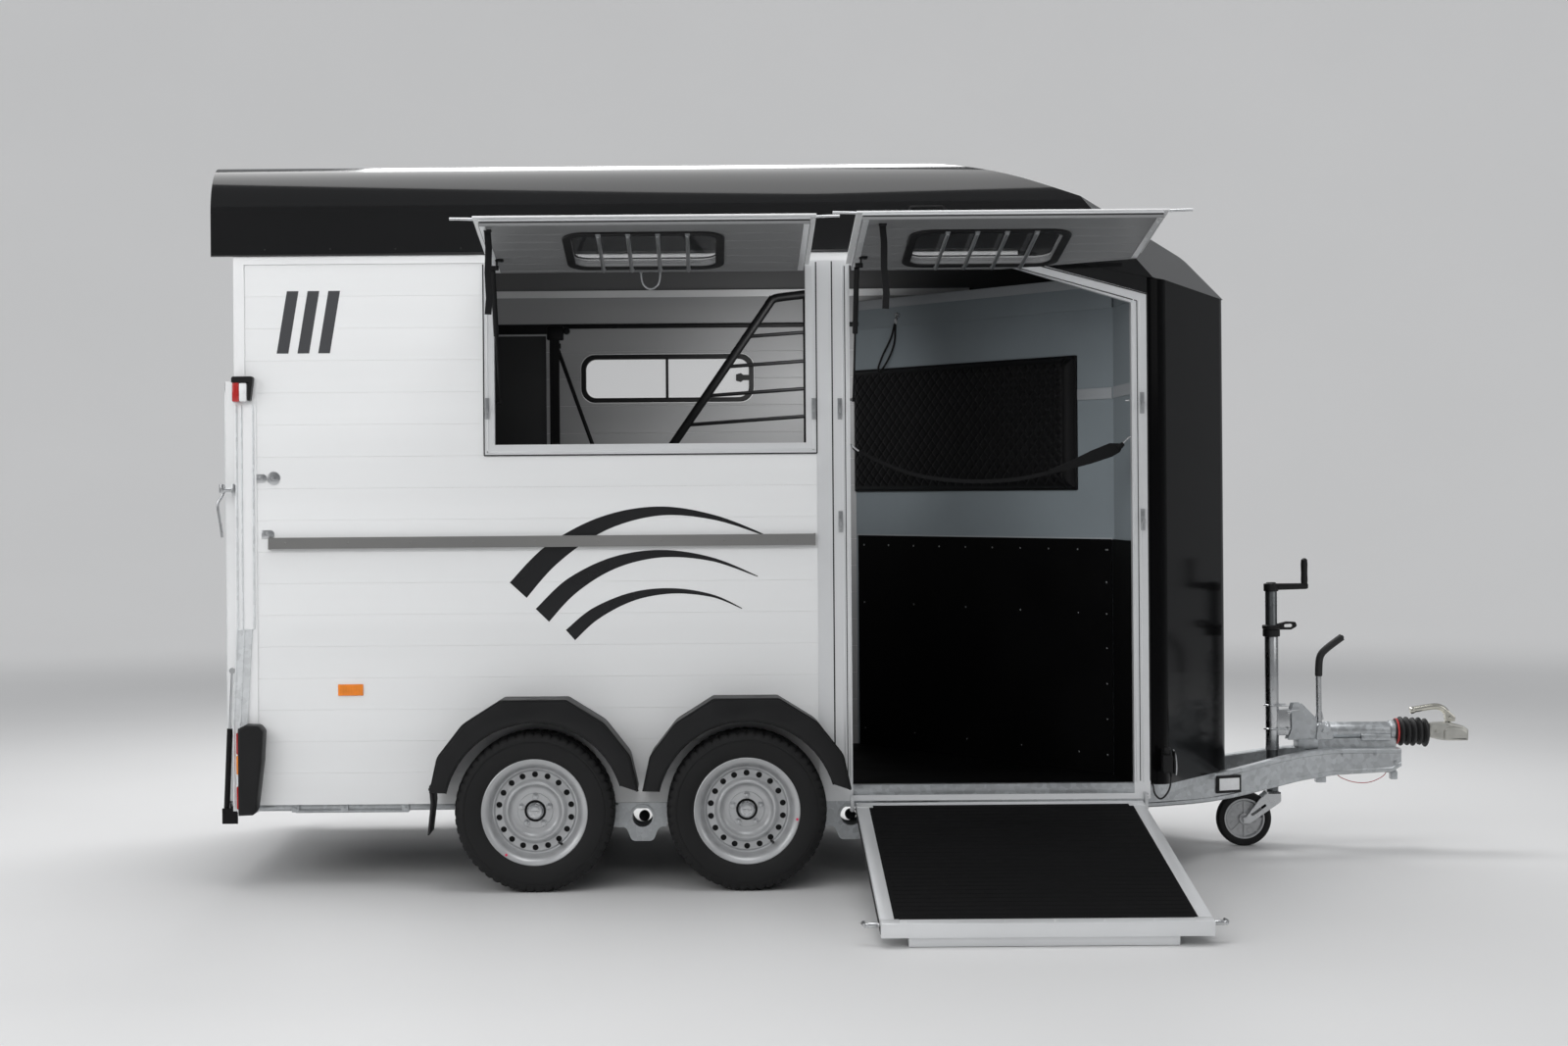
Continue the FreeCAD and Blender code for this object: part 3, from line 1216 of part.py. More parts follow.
def make_coupling():
    """Pressed head over the tow ball, and the handle that latches it."""
    rear = s.housing_front + s.bellows_length + 2 * s.seat_gap
    tip, rim = s.ball_station + s.head_nose, s.ball_height - s.head_skirt
    neck = s.tube_height - s.ball_height
    half = s.head_half
    head_side = prism("head_side", "XZ_Plane", [[
        (rear, s.ball_height - 2), (s.ball_station - 62, rim + 4), (s.ball_station - 34, rim),
        (tip, rim), (tip, s.ball_height + 22), (tip - 22, s.ball_height + 48, 20),
        (s.ball_station - 24, s.ball_height + 62, 40), (rear, s.ball_height + neck + 30),
    ]], -60, 60)
    head_plan = prism("head_plan", "XY_Plane", [[
        (rear, -half + 8), (s.ball_station - 44, -half + 8), (s.ball_station - 24, -half),
        (tip, -half, 30), (tip, half, 30), (s.ball_station - 24, half),
        (s.ball_station - 44, half - 8), (rear, half - 8),
    ]], rim - 20, s.ball_height + 100)
    socket = rod("socket_bore", s.socket_r, (s.ball_station, 0, s.ball_height - s.socket_depth / 2),
                 "Z", s.socket_depth)
    seat(cut("coupling", common("head_block", head_side, head_plan), socket), "coupling_head")
    top = s.ball_height + 62 + s.seat_gap
    middle = s.ball_station
    handle = prism("handle_bar", "XZ_Plane", [[
        (middle - 172, top + 38, 6), (middle - 168, top + 58, 10), (middle - 60, top + 70, 20),
        (middle - 34, top + 66, 10), (middle + 12, top + 22), (middle + 6, top),
        (middle - 22, top), (middle - 44, top + 40, 12), (middle - 70, top + 52, 16),
        (middle - 160, top + 38, 6),
    ]], -s.handle_half, s.handle_half)
    seat(handle, "coupling_handle")


def make_handbrake():
    """Flat lever with a moulded grip that leans forward."""
    rear, thick = s.brake_station, 18
    foot = s.tube_height + 44 + s.seat_gap
    lever = prism("brake_shaft", "XZ_Plane", [[
        (rear + 2, foot), (rear + 2 + thick, foot), (rear + 4 + thick, s.brake_grip + 2),
        (rear + 4, s.brake_grip + 2),
    ]], -9, 9)
    pad(lever, "XZ_Plane", [[
        (rear, s.brake_grip), (rear + 26, s.brake_grip), (rear + 34, s.brake_grip + 62, 40),
        (rear + 112, s.brake_grip + 142, 12), (rear + 96, s.brake_grip + 158, 12),
        (rear + 10, s.brake_grip + 78, 40),
    ]], -12, 12)
    seat(lever, "handbrake_lever")


def make_jockey():
    x, foot, head = s.jockey_station, s.jockey_foot, s.jockey_head
    low, top = s.jockey_sleeve_low, s.jockey_sleeve_top
    hollow_r = s.jockey_tube_r + 0.3
    outer = rod("jockey_outer", s.jockey_sleeve_r, (x, 0, low), "Z", top - low)
    collar = rod("jockey_collar", s.jockey_sleeve_r + 7, (x, 0, top - 48), "Z", 48)
    handle = prism("collar_handle", "XZ_Plane", [[
        (x + 20, top - 40), (x + 90, top - 32, 8), (x + 106, top - 12, 12), (x + 88, top + 12, 10),
        (x + 20, top + 6),
    ]], -9, 9)
    strap_half = s.gusset_half - s.gusset_thick - s.seat_gap
    strap = box("jockey_strap", (x + 20, -1 * strap_half, s.gusset_top - 135),
                (s.gusset_rear + 50, strap_half, s.gusset_top - 25))
    hollow = rod("jockey_hollow", hollow_r, (x, 0, low - 1), "Z", top - low + 20)
    seat(cut("jockey_sleeve", fuse("jockey_sleeve_set", outer, collar, handle, strap), hollow),
         "jockey_clamp")
    tube = rod("jockey_tube", s.jockey_tube_r, (x, 0, foot), "Z", head - foot)
    cap = rod("jockey_cap", s.jockey_tube_r + 6, (x, 0, head), "Z", s.crank_thick)
    arm = box("jockey_arm", (x, -12, head + 2), (x + s.crank_reach + 14, 12, head + s.crank_thick))
    grip = rod("jockey_grip", 15, (x + s.crank_reach, 0, head + 2), "Z",
               s.crank_thick + s.crank_handle)
    seat(fuse("jockey_leg", tube, cap, arm, grip), "jockey_leg")
    trail, wheel_z = -1 * s.jockey_trail, s.jockey_wheel_r - foot
    half, thick, play = s.fork_half, 6, 0.5
    cheek = [
        (trail - 18, wheel_z - 16, 14), (trail + 18, wheel_z - 16, 14), (30, -40, 20),
        (26, -1 * play), (-26, -1 * play), (-62, -30, 16),
    ]
    cheeks = [
        prism(f"jockey_cheek_{i}", "XZ_Plane", [cheek], start, start + thick)
        for i, start in enumerate((-1 * half, half - thick), start=1)
    ]
    crown = box("jockey_crown", (-26, -1 * half, -1 * play - thick), (26, half, -1 * play))
    pin = rod("jockey_pin", s.jockey_pin_r, (trail, -1 * half, wheel_z), "Y", 2 * half)
    seat(fuse("jockey_fork", *cheeks, crown, pin), "jockey_fork", at=(x, 0, foot))
    bore, wide, radius = s.jockey_pin_r + s.pin_play, s.jockey_wheel_half, s.jockey_wheel_r
    section = [
        (bore, wide + 2), (26, wide + 2), (30, wide - 12), (radius - 34, wide - 12),
        (radius - 29, wide), (radius - 7, wide), (radius, wide - 10),
    ]
    wheel = new_body("jockey_wheel_body")
    turned(wheel, [[(r, -1 * along) for r, along in section] + section[::-1]])
    seat(wheel, "jockey_wheel", at=(x - s.jockey_trail, 0, radius))


# Inside the body

def make_partition():
    """Board, posts and rail between the horses, with the head grille above its front end."""
    low, top, board = s.floor_top, s.partition_top, s.board_top
    post = box("partition_post", (s.post_station, -18, low), (s.post_station + 36, 18, top))
    rail = box("partition_rail", (60, -14, top - 30), (s.post_station + 6, 14, top))
    panel = box("partition_board", (60, -12, low + 105), (s.grille_front - 22, 12, board))
    front_post = box("partition_front", (s.grille_front - 32, -16, low),
                     (s.grille_front, 16, board))
    rear_post = box("partition_rear", (58, -16, low), (90, 16, top))
    brace = bar_between("partition_brace", 8, (s.post_station + 18, 0, top - 60),
                        (s.post_station + 230, 0, board - 5))
    seat(fuse("partition_set", post, rail, panel, front_post, rear_post, brace), "partition")
    radius = s.grille_tube_r
    foot = (s.grille_foot, 0, board + radius * 0.5)
    bend = (s.grille_bend, 0, s.grille_top)
    x = s.grille_front - 16
    corner = (x, 0, s.grille_top + 18)
    frame = [
        bar_between("grille_slope", radius, foot, bend), ball("grille_bend_ball", radius + 0.6, bend),
        bar_between("grille_head", radius, bend, corner), ball("grille_corner", radius + 0.6, corner),
        rod("grille_post", radius, (x, 0, board + s.seat_gap), "Z", s.grille_top + 18 - board),
    ]
    under = box("grille_trim", (s.grille_foot - 60, -40, board - 60),
                (s.grille_foot + 60, 40, board + s.seat_gap))
    bars = []
    slope = (s.grille_top - board) / (s.grille_bend - s.grille_foot)
    for i, share in enumerate((0.22, 0.41, 0.6, 0.79), start=1):
        height = board + (s.grille_top - board) * share
        start = s.grille_foot + (height - board) / slope
        bars.append(bar_between(f"grille_bar_{i}", s.grille_bar_r, (start, 0, height),
                                (x, 0, height + (x - start) * 0.09)))
    seat(cut("grille", fuse("grille_set", *frame, *bars), under), "head_grille")


def make_tack_wall():
    """Upright board that closes off the tack room, bent near the side door."""
    inner = s.half_width - s.wall_thick - 1
    thick = s.tack_wall_thick
    side, bend, turn, end = s.tack_wall_side, s.tack_wall_bend, s.tack_wall_turn, s.tack_wall_end
    seat(prism("tack_board", "XY_Plane", [[
        (side, inner), (bend, turn), (end, -1 * inner), (end + thick, -1 * inner),
        (bend + thick + 2, turn + 10), (side + thick + 12, inner),
    ]], s.floor_top, s.tack_wall_top), "tack_wall")
    run, rise = bend - side, inner - turn
    reach = root(run * run + rise * rise)
    along, across = (run / reach, -1 * rise / reach), (-1 * rise / reach, -1 * run / reach)

    def on_wall(distance, depth):
        """A point of the plan: along the wall from its left end and out from its face."""
        return (side + along[0] * distance + across[0] * depth,
                inner + along[1] * distance + across[1] * depth)

    def facing(name, start, stop, depth):
        """An upright slab on the wall's face."""
        return [on_wall(start, s.seat_gap), on_wall(start, depth), on_wall(stop, depth),
                on_wall(stop, s.seat_gap)]

    pad_plan = facing("pad", 70, reach - 60, s.pad_thick)
    seat(prism("pad_board", "XY_Plane", [pad_plan], s.pad_low, s.pad_high), "quilted_pad")
    kick_plan = facing("kick", 20, reach - 12, s.kick_thick)
    seat(prism("kick_sheet", "XY_Plane", [kick_plan], s.floor_top + s.seat_gap, s.kick_top),
         "kick_board")


def make_lamps():
    """Tail and marker lamps on the rear posts, and the rub rails along the walls."""
    face = s.half_width + s.rail_proud
    # name, rear, front, inner face, outer face, low, high
    fittings = (
        ("tail_lamp", 14, s.tail_front, face, s.tail_out, s.tail_low, s.tail_high),
        ("marker_lamp", 0, 60, face, s.marker_out, s.marker_low, s.marker_high),
        ("rub_rail", 129, s.door_post_rear - 12, s.half_width, s.half_width + s.rub_proud,
         s.rub_low, s.rub_high),
    )
    made = {}
    for kind, rear, front, inner, outer, low, high in fittings:
        made[kind] = [
            box(f"{kind}_right", (rear, -1 * outer, low), (front, -1 * inner, high)),
            box(f"{kind}_left", (rear, inner, low), (front, outer, high)),
        ]
    lamps = made["tail_lamp"] + made["marker_lamp"]
    seat(group("tail_lamp_set", *lamps), "tail_lamps")
    seat(group("rub_rail_set", *made["rub_rail"]), "rub_rails")


def gather():
    """Fixed hinge rods, and fixed pins of the gas struts: one node each."""
    seat(group("hinge_set", *HINGES), "hinge_rods")
    seat(group("mount_set", *MOUNTS), "strut_mounts")


PIECES = (
    make_floor, make_walls, make_sliding_window, make_top_rails, make_window_frame,
    make_door_frame, make_nose, make_roof, make_rear_frame, make_rear_ramp, make_rear_lifts,
    make_side_ramp, make_flaps, make_tack_door, make_wheels, make_axles, make_axle_brackets,
    make_mudguards, make_chassis, make_drawbar, make_overrun, make_bellows, make_coupling,
    make_handbrake, make_jockey, make_partition, make_tack_wall, make_lamps, gather,
)


def build():
    for make in PIECES:
        make()
    doc.recompute()
    for thing in doc.Objects:
        if "Invalid" in thing.State or "Error" in thing.State:
            raise SystemExit(f"{thing.Name} ({thing.Label}) failed: {thing.State}")
    for part in PARTS:
        if part.Shape.isNull() or not part.Shape.isValid() or not part.Shape.Solids:
            raise SystemExit(f"{part.Label} has no valid solid")
    os.makedirs("parts", exist_ok=True)
    for part in PARTS:
        part.Shape.exportStep(f"parts/{part.Label}.step")
    print(len(PARTS), "sub-parts")


build()
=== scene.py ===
import math

import bmesh
import bpy
from mathutils import Matrix, Vector


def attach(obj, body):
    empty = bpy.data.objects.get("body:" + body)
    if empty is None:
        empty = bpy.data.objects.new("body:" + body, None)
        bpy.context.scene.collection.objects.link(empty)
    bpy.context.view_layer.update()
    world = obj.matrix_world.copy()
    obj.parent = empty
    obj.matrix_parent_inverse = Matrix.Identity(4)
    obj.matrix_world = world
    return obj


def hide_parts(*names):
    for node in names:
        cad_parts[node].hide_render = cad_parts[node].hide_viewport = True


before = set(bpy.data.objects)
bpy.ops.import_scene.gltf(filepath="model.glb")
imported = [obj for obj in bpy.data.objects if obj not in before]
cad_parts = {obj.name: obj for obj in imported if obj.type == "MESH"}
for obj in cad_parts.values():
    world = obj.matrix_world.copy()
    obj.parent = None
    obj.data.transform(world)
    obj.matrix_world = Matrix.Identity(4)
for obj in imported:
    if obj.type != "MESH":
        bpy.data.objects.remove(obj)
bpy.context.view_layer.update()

# Lengths below are in millimetres. Stations run forward from the rear edge of the side
# walls and heights run up from the ground, as in the part's source.
BALL_STATION, BALL_HEIGHT = 4824, 440
BODY = "trailer_body"
RIGHT, LEFT = -1, 1


def at(station, side, height):
    """A point of the row frame, in metres."""
    return Vector(((station - BALL_STATION) / 1000, side / 1000, (height - BALL_HEIGHT) / 1000))


def hung(side, height, degrees):
    """Where a panel that was drawn shut in its hinge's own frame stands at rest."""
    return (Matrix.Translation(at(BALL_STATION, side, height))
            @ Matrix.Rotation(math.radians(degrees), 4, "X"))


# Geometry

def rounded(points, steps=6):
    """Corners (u, v) or (u, v, radius) as plain points, the rounded ones as arcs."""
    result = []
    count = len(points)
    for i, point in enumerate(points):
        here = Vector(point[:2])
        if len(point) < 3:
            result.append(here)
            continue
        back = (Vector(points[i - 1][:2]) - here)
        ahead = (Vector(points[(i + 1) % count][:2]) - here)
        turn = back.angle(ahead)
        reach = min(point[2] / math.tan(turn / 2), back.length * 0.499, ahead.length * 0.499)
        radius = reach * math.tan(turn / 2)
        start, end = here + back.normalized() * reach, here + ahead.normalized() * reach
        middle = here + (back.normalized() + ahead.normalized()).normalized() * (
            radius / math.sin(turn / 2))
        first, last = start - middle, end - middle
        sweep = first.angle_signed(last) * -1
        for k in range(steps + 1):
            angle = sweep * k / steps
            cosine, sine = math.cos(angle), math.sin(angle)
            result.append(middle + Vector((first.x * cosine - first.y * sine,
                                           first.x * sine + first.y * cosine)))
    return result


def rect(left, low, right, high, radius=None):
    corners = [(left, low), (right, low), (right, high), (left, high)]
    return [c + (radius,) for c in corners] if radius else corners


def both_sides(inner, outer):
    """Each side of the trailer, with two distances from the middle in rising order along Y."""
    for side in (RIGHT, LEFT):
        low, high = sorted((side * inner, side * outer))
        yield side, low, high


def smooth_line(points, steps):
    """A smooth curve that passes through all the points."""
    line = []
    for i in range(len(points) - 1):
        p0, p1 = points[max(i - 1, 0)], points[i]
        p2, p3 = points[i + 1], points[min(i + 2, len(points) - 1)]
        for k in range(steps):
            u = k / steps
            line.append(0.5 * (2 * p1 + (p2 - p0) * u + (2 * p0 - 5 * p1 + 4 * p2 - p3) * u ** 2
                               + (3 * p1 - p0 - 3 * p2 + p3) * u ** 3))
    return line + [points[-1]]


def join_rings(part, rings):
    """Faces from each ring of vertices to the next, and from the last one to the first."""
    for i, ring in enumerate(rings):
        following = rings[(i + 1) % len(rings)]
        for k in range(len(ring)):
            j = (k + 1) % len(ring)
            part.faces.new((ring[k], ring[j], following[j], following[k]))
    bmesh.ops.recalc_face_normals(part, faces=part.faces)


PLANES = {
    "XZ": lambda u, v, w: Vector((u, -w, v)),
    "YZ": lambda u, v, w: Vector((w, u, v)),
    "XY": lambda u, v, w: Vector((u, v, w)),
}


class Piece:
    """Collects solids in millimetres and turns them into one object."""

    def __init__(self, name):
        self.name = name
        self.mesh = bmesh.new()

    def _add(self, source):
        self.mesh.from_mesh(source)
        bpy.data.meshes.remove(source)

    def box(self, low, high, bevel=1.5, segments=2):
        part = bmesh.new()
        bmesh.ops.create_cube(part, size=1)
        low, high = Vector(low), Vector(high)
        size = high - low
        for v in part.verts:
            v.co = Vector([m + c * d for m, c, d in zip((low + high) / 2, v.co, size)])
        width = min(bevel, min(abs(d) for d in size) * 0.45)
        if width > 0:
            bmesh.ops.bevel(part, geom=part.edges[:], offset=width, segments=segments,
                            profile=0.5, affect="EDGES")
        self.take(part)

    def take(self, part):
        source = bpy.data.meshes.new("part")
        part.to_mesh(source)
        part.free()
        self._add(source)

    def rod(self, start, end, radius, end_radius=None, sides=32, bevel=0.0):
        start, end = Vector(start), Vector(end)
        part = bmesh.new()
        length = (end - start).length
        bmesh.ops.create_cone(part, cap_ends=True, segments=sides, radius1=radius,
                              radius2=radius if end_radius is None else end_radius, depth=length)
        if bevel:
            rims = [e for e in part.edges if len(e.link_faces) == 2
                    and any(len(f.verts) > 4 for f in e.link_faces)]
            bmesh.ops.bevel(part, geom=rims, offset=bevel, segments=2, profile=0.5,
                            affect="EDGES")
        turn = Vector((0, 0, 1)).rotation_difference(end - start).to_matrix().to_4x4()
        bmesh.ops.transform(part, matrix=Matrix.Translation((start + end) / 2) @ turn,
                            verts=part.verts)
        self.take(part)

    def plate(self, plane, loops, low, high, bevel=1.2):
        """An outline, with any holes, drawn on a plane and given its thickness.
        On XZ the thickness runs along Y from low to high."""
        depth = high - low
        bevel = min(bevel, depth * 0.45)
        curve = bpy.data.curves.new("outline", "CURVE")
        curve.dimensions = "2D"
        curve.fill_mode = "BOTH"
        curve.extrude = depth / 2 - bevel
        curve.bevel_depth = bevel
        curve.bevel_resolution = 1
        curve.offset = -bevel
        for loop in loops:
            spline = curve.splines.new("POLY")
            spline.points.add(len(loop) - 1)
            for p, q in zip(spline.points, loop):
                p.co = (q[0], q[1], 0, 1)
            spline.use_cyclic_u = True
        holder = bpy.data.objects.new("outline", curve)
        source = bpy.data.meshes.new_from_object(holder)
        bpy.data.objects.remove(holder)
        bpy.data.curves.remove(curve)
        middle = (low + high) / 2
        if plane == "XZ":
            middle = -middle
        for v in source.vertices:
            v.co = PLANES[plane](v.co.x, v.co.y, v.co.z + middle)
        self._add(source)

    def lathe(self, profile, centre, axis, steps=64):
        """A closed profile of (radius, along) turned about an axis through centre."""
        part = bmesh.new()
        axis = Vector(axis).normalized()
        side = axis.orthogonal().normalized()
        other = axis.cross(side)
        centre = Vector(centre)
        rings = []
        for radius, along in profile:
            ring = []
            for k in range(steps):
                angle = 2 * math.pi * k / steps
                ring.append(part.verts.new(centre + axis * along
                                           + (side * math.cos(angle) + other * math.sin(angle))
                                           * max(radius, 0.01)))
            rings.append(ring)
        join_rings(part, rings)
        self.take(part)

    def sweep(self, points, radius, sides=12, closed=False, smooth=True):
        """A round bar along points, its corners rounded into a smooth line when asked."""
        curve = bpy.data.curves.new("bar", "CURVE")
        curve.dimensions = "3D"
        curve.bevel_depth = radius
        curve.bevel_resolution = max(1, sides // 4)
        curve.use_fill_caps = True
        curve.resolution_u = 10
        spline = curve.splines.new("NURBS" if smooth else "POLY")
        spline.points.add(len(points) - 1)
        for p, q in zip(spline.points, points):
            p.co = (*q, 1)
        if smooth:
            spline.order_u = min(4, len(points))
            spline.use_endpoint_u = not closed
        spline.use_cyclic_u = closed
        holder = bpy.data.objects.new("bar", curve)
        source = bpy.data.meshes.new_from_object(holder)
        bpy.data.objects.remove(holder)
        bpy.data.curves.remove(curve)
        self._add(source)

    def strip(self, points, across, thick, width):
        """A flat bar or strap along points: across is the direction of its width."""
        part = bmesh.new()
        across = Vector(across).normalized()
        rings = []
        points = [Vector(p) for p in points]
        for i, point in enumerate(points):
            ahead = points[min(i + 1, len(points) - 1)] - points[max(i - 1, 0)]
            normal = across.cross(ahead.normalized()).normalized()
            wide, deep = across * (width / 2), normal * (thick / 2)
            rings.append([part.verts.new(point + wide * a + deep * b)
                          for a, b in ((-1, -1), (1, -1), (1, 1), (-1, 1))])
        for first, second in zip(rings, rings[1:]):
            for k in range(4):
                j = (k + 1) % 4
                part.faces.new((first[k], first[j], second[j], second[k]))
        part.faces.new(rings[0][::-1])
        part.faces.new(rings[-1])
        bmesh.ops.recalc_face_normals(part, faces=part.faces)
        self.take(part)

    def bolt(self, place, axis, radius=6, height=4):
        """A hexagon head on a washer."""
        place, axis = Vector(place), Vector(axis).normalized()
        self.rod(place, place + axis * 1.2, radius * 1.45, sides=20)
        self.rod(place + axis * 1.2, place + axis * (1.2 + height), radius * 1.05, sides=6,
                 bevel=0.6)

    def rivet(self, place, axis, radius=4):
        place, axis = Vector(place), Vector(axis).normalized()
        self.rod(place, place + axis * 1.6, radius, end_radius=radius * 0.55, sides=12)

    def cut(self, cutter):
        """Takes another piece's solids away from this one."""
        meshes, objects = [], []
        for piece in (self, cutter):
            source = bpy.data.meshes.new("solid")
            bmesh.ops.recalc_face_normals(piece.mesh, faces=piece.mesh.faces)
            piece.mesh.to_mesh(source)
            holder = bpy.data.objects.new("solid", source)
            bpy.context.scene.collection.objects.link(holder)
            meshes.append(source)
            objects.append(holder)
        change = objects[0].modifiers.new("cut", "BOOLEAN")
        change.operation = "DIFFERENCE"
        change.solver = "EXACT"
        change.object = objects[1]
        bpy.context.view_layer.update()
        result = bpy.data.meshes.new_from_object(
            objects[0].evaluated_get(bpy.context.evaluated_depsgraph_get()))
        self.mesh.free()
        cutter.mesh.free()
        self.mesh = bmesh.new()
        self._add(result)
        for holder in objects:
            bpy.data.objects.remove(holder)
        for source in meshes:
            bpy.data.meshes.remove(source)

    def done(self, finish, body=BODY, replaces=(), place=None, angle=35, slot=None):
        """Makes the object. Place moves a panel from its hinge's frame to where it rests.
        The slot argument is not used."""
        move = Matrix.Scale(0.001, 4) @ Matrix.Translation((-BALL_STATION, 0, -BALL_HEIGHT))
        if place is not None:
            move = place @ Matrix.Scale(0.001, 4) @ Matrix.Translation((-BALL_STATION, 0, 0))
        bmesh.ops.transform(self.mesh, matrix=move, verts=self.mesh.verts)
        limit = math.radians(angle)
        for face in self.mesh.faces:
            face.smooth = True
        for edge in self.mesh.edges:
            if len(edge.link_faces) == 2 and edge.calc_face_angle(0) > limit:
                edge.smooth = False
        data = bpy.data.meshes.new(self.name)
        self.mesh.to_mesh(data)
        self.mesh.free()
        made = bpy.data.objects.new(self.name, data)
        bpy.context.scene.collection.objects.link(made)
        data.materials.append(M[finish])
        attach(made, body)
        if replaces:
            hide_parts(*replaces)
        return made


# Materials

def shader(name, colour, rough, metal=0.0, coat=0.0, coat_rough=0.1, alpha=1.0, spec=0.5,
           sheen=0.0, ior=1.5):
    made = bpy.data.materials.new(name)
    made.use_nodes = True
    tree = made.node_tree
    surface = tree.nodes["Principled BSDF"]
    surface.inputs["Base Color"].default_value = (*colour, 1)
    surface.inputs["Roughness"].default_value = rough
    surface.inputs["Metallic"].default_value = metal
    surface.inputs["Coat Weight"].default_value = coat
    surface.inputs["Coat Roughness"].default_value = coat_rough
    surface.inputs["Alpha"].default_value = alpha
    surface.inputs["Specular IOR Level"].default_value = spec
    surface.inputs["Sheen Weight"].default_value = sheen
    surface.inputs["IOR"].default_value = ior
    return made, tree, surface


def link(tree, out_node, out_socket, in_node, in_socket):
    tree.links.new(out_node.outputs[out_socket], in_node.inputs[in_socket])


def coordinates(tree, scale=(1, 1, 1)):
    place = tree.nodes.new("ShaderNodeTexCoord")
    mapping = tree.nodes.new("ShaderNodeMapping")
    mapping.inputs["Scale"].default_value = scale
    link(tree, place, "Object", mapping, "Vector")
    return mapping


def noise_node(tree, mapping, scale, detail=4, rough=0.5):
    node = tree.nodes.new("ShaderNodeTexNoise")
    node.inputs["Scale"].default_value = scale
    node.inputs["Detail"].default_value = detail
    node.inputs["Roughness"].default_value = rough
    link(tree, mapping, "Vector", node, "Vector")
    return node


def ramp(tree, source, socket, stops):
    """Colour or grey stops along a value."""
    node = tree.nodes.new("ShaderNodeValToRGB")
    elements = node.color_ramp.elements
    while len(elements) < len(stops):
        elements.new(0.5)
    for element, (position, colour) in zip(elements, stops):
        element.position = position
        element.color = (*colour, 1) if isinstance(colour, tuple) else (colour,) * 3 + (1,)
    link(tree, source, socket, node, "Fac")
    return node


def bump(tree, surface, source, socket, strength, distance):
    node = tree.nodes.new("ShaderNodeBump")
    node.inputs["Strength"].default_value = strength
    node.inputs["Distance"].default_value = distance
    link(tree, source, socket, node, "Height")
    link(tree, node, "Normal", surface, "Normal")
    return node


def mottled(name, colour, rough, metal=0.0, scale=6, vary=0.12, grain=120, grain_depth=0.0004,
            stretch=(1, 1, 1), grain_stretch=(1, 1, 1), rough_vary=0.12, **more):
    """A finish whose colour and gloss drift a little, over a fine grain."""
    made, tree, surface = shader(name, colour, rough, metal, **more)
    broad = noise_node(tree, coordinates(tree, stretch), scale)
    low = tuple(c * (1 - vary) for c in colour)
    high = tuple(min(1, c * (1 + vary)) for c in colour)
    tones = ramp(tree, broad, "Fac", [(0.3, low), (0.7, high)])
    link(tree, tones, "Color", surface, "Base Color")
    gloss = ramp(tree, broad, "Fac", [(0.3, max(0.02, rough - rough_vary * rough)),
                                      (0.7, min(1, rough + rough_vary * rough))])
    link(tree, gloss, "Color", surface, "Roughness")
    if grain_depth:
        fine = noise_node(tree, coordinates(tree, grain_stretch), grain, 3, 0.6)
        bump(tree, surface, fine, "Fac", 0.5, grain_depth)
    return made


def spangled(name, colour, rough, scale=55, vary=0.16):
    """Hot-dip galvanised steel: crystals of slightly different brightness."""
    made, tree, surface = shader(name, colour, rough, 0.85)
    cells = tree.nodes.new("ShaderNodeTexVoronoi")
    cells.inputs["Scale"].default_value = scale
    link(tree, coordinates(tree), "Vector", cells, "Vector")
    clouds = noise_node(tree, coordinates(tree), 5, 5)
    blend = tree.nodes.new("ShaderNodeMix")
    blend.data_type = "RGBA"
    blend.inputs["Factor"].default_value = 0.55
    link(tree, cells, "Color", blend, "A")
    link(tree, clouds, "Color", blend, "B")
    grey = tree.nodes.new("ShaderNodeRGBToBW")
    link(tree, blend, "Result", grey, "Color")
    low = tuple(c * (1 - vary) for c in colour)
    high = tuple(min(1, c * (1 + vary)) for c in colour)
    tones = ramp(tree, grey, "Val", [(0.3, low), (0.72, high)])
    link(tree, tones, "Color", surface, "Base Color")
    gloss = ramp(tree, grey, "Val", [(0.3, rough - 0.07), (0.75, rough + 0.12)])
    link(tree, gloss, "Color", surface, "Roughness")
    bump(tree, surface, grey, "Val", 0.2, 0.0006)
    return made


PLANK_RUN = {"stretch": (0.25, 1, 3), "grain_stretch": (0.08, 1, 1)}
RAIL_RUN = {"grain_stretch": (0.1, 1, 0.1)}

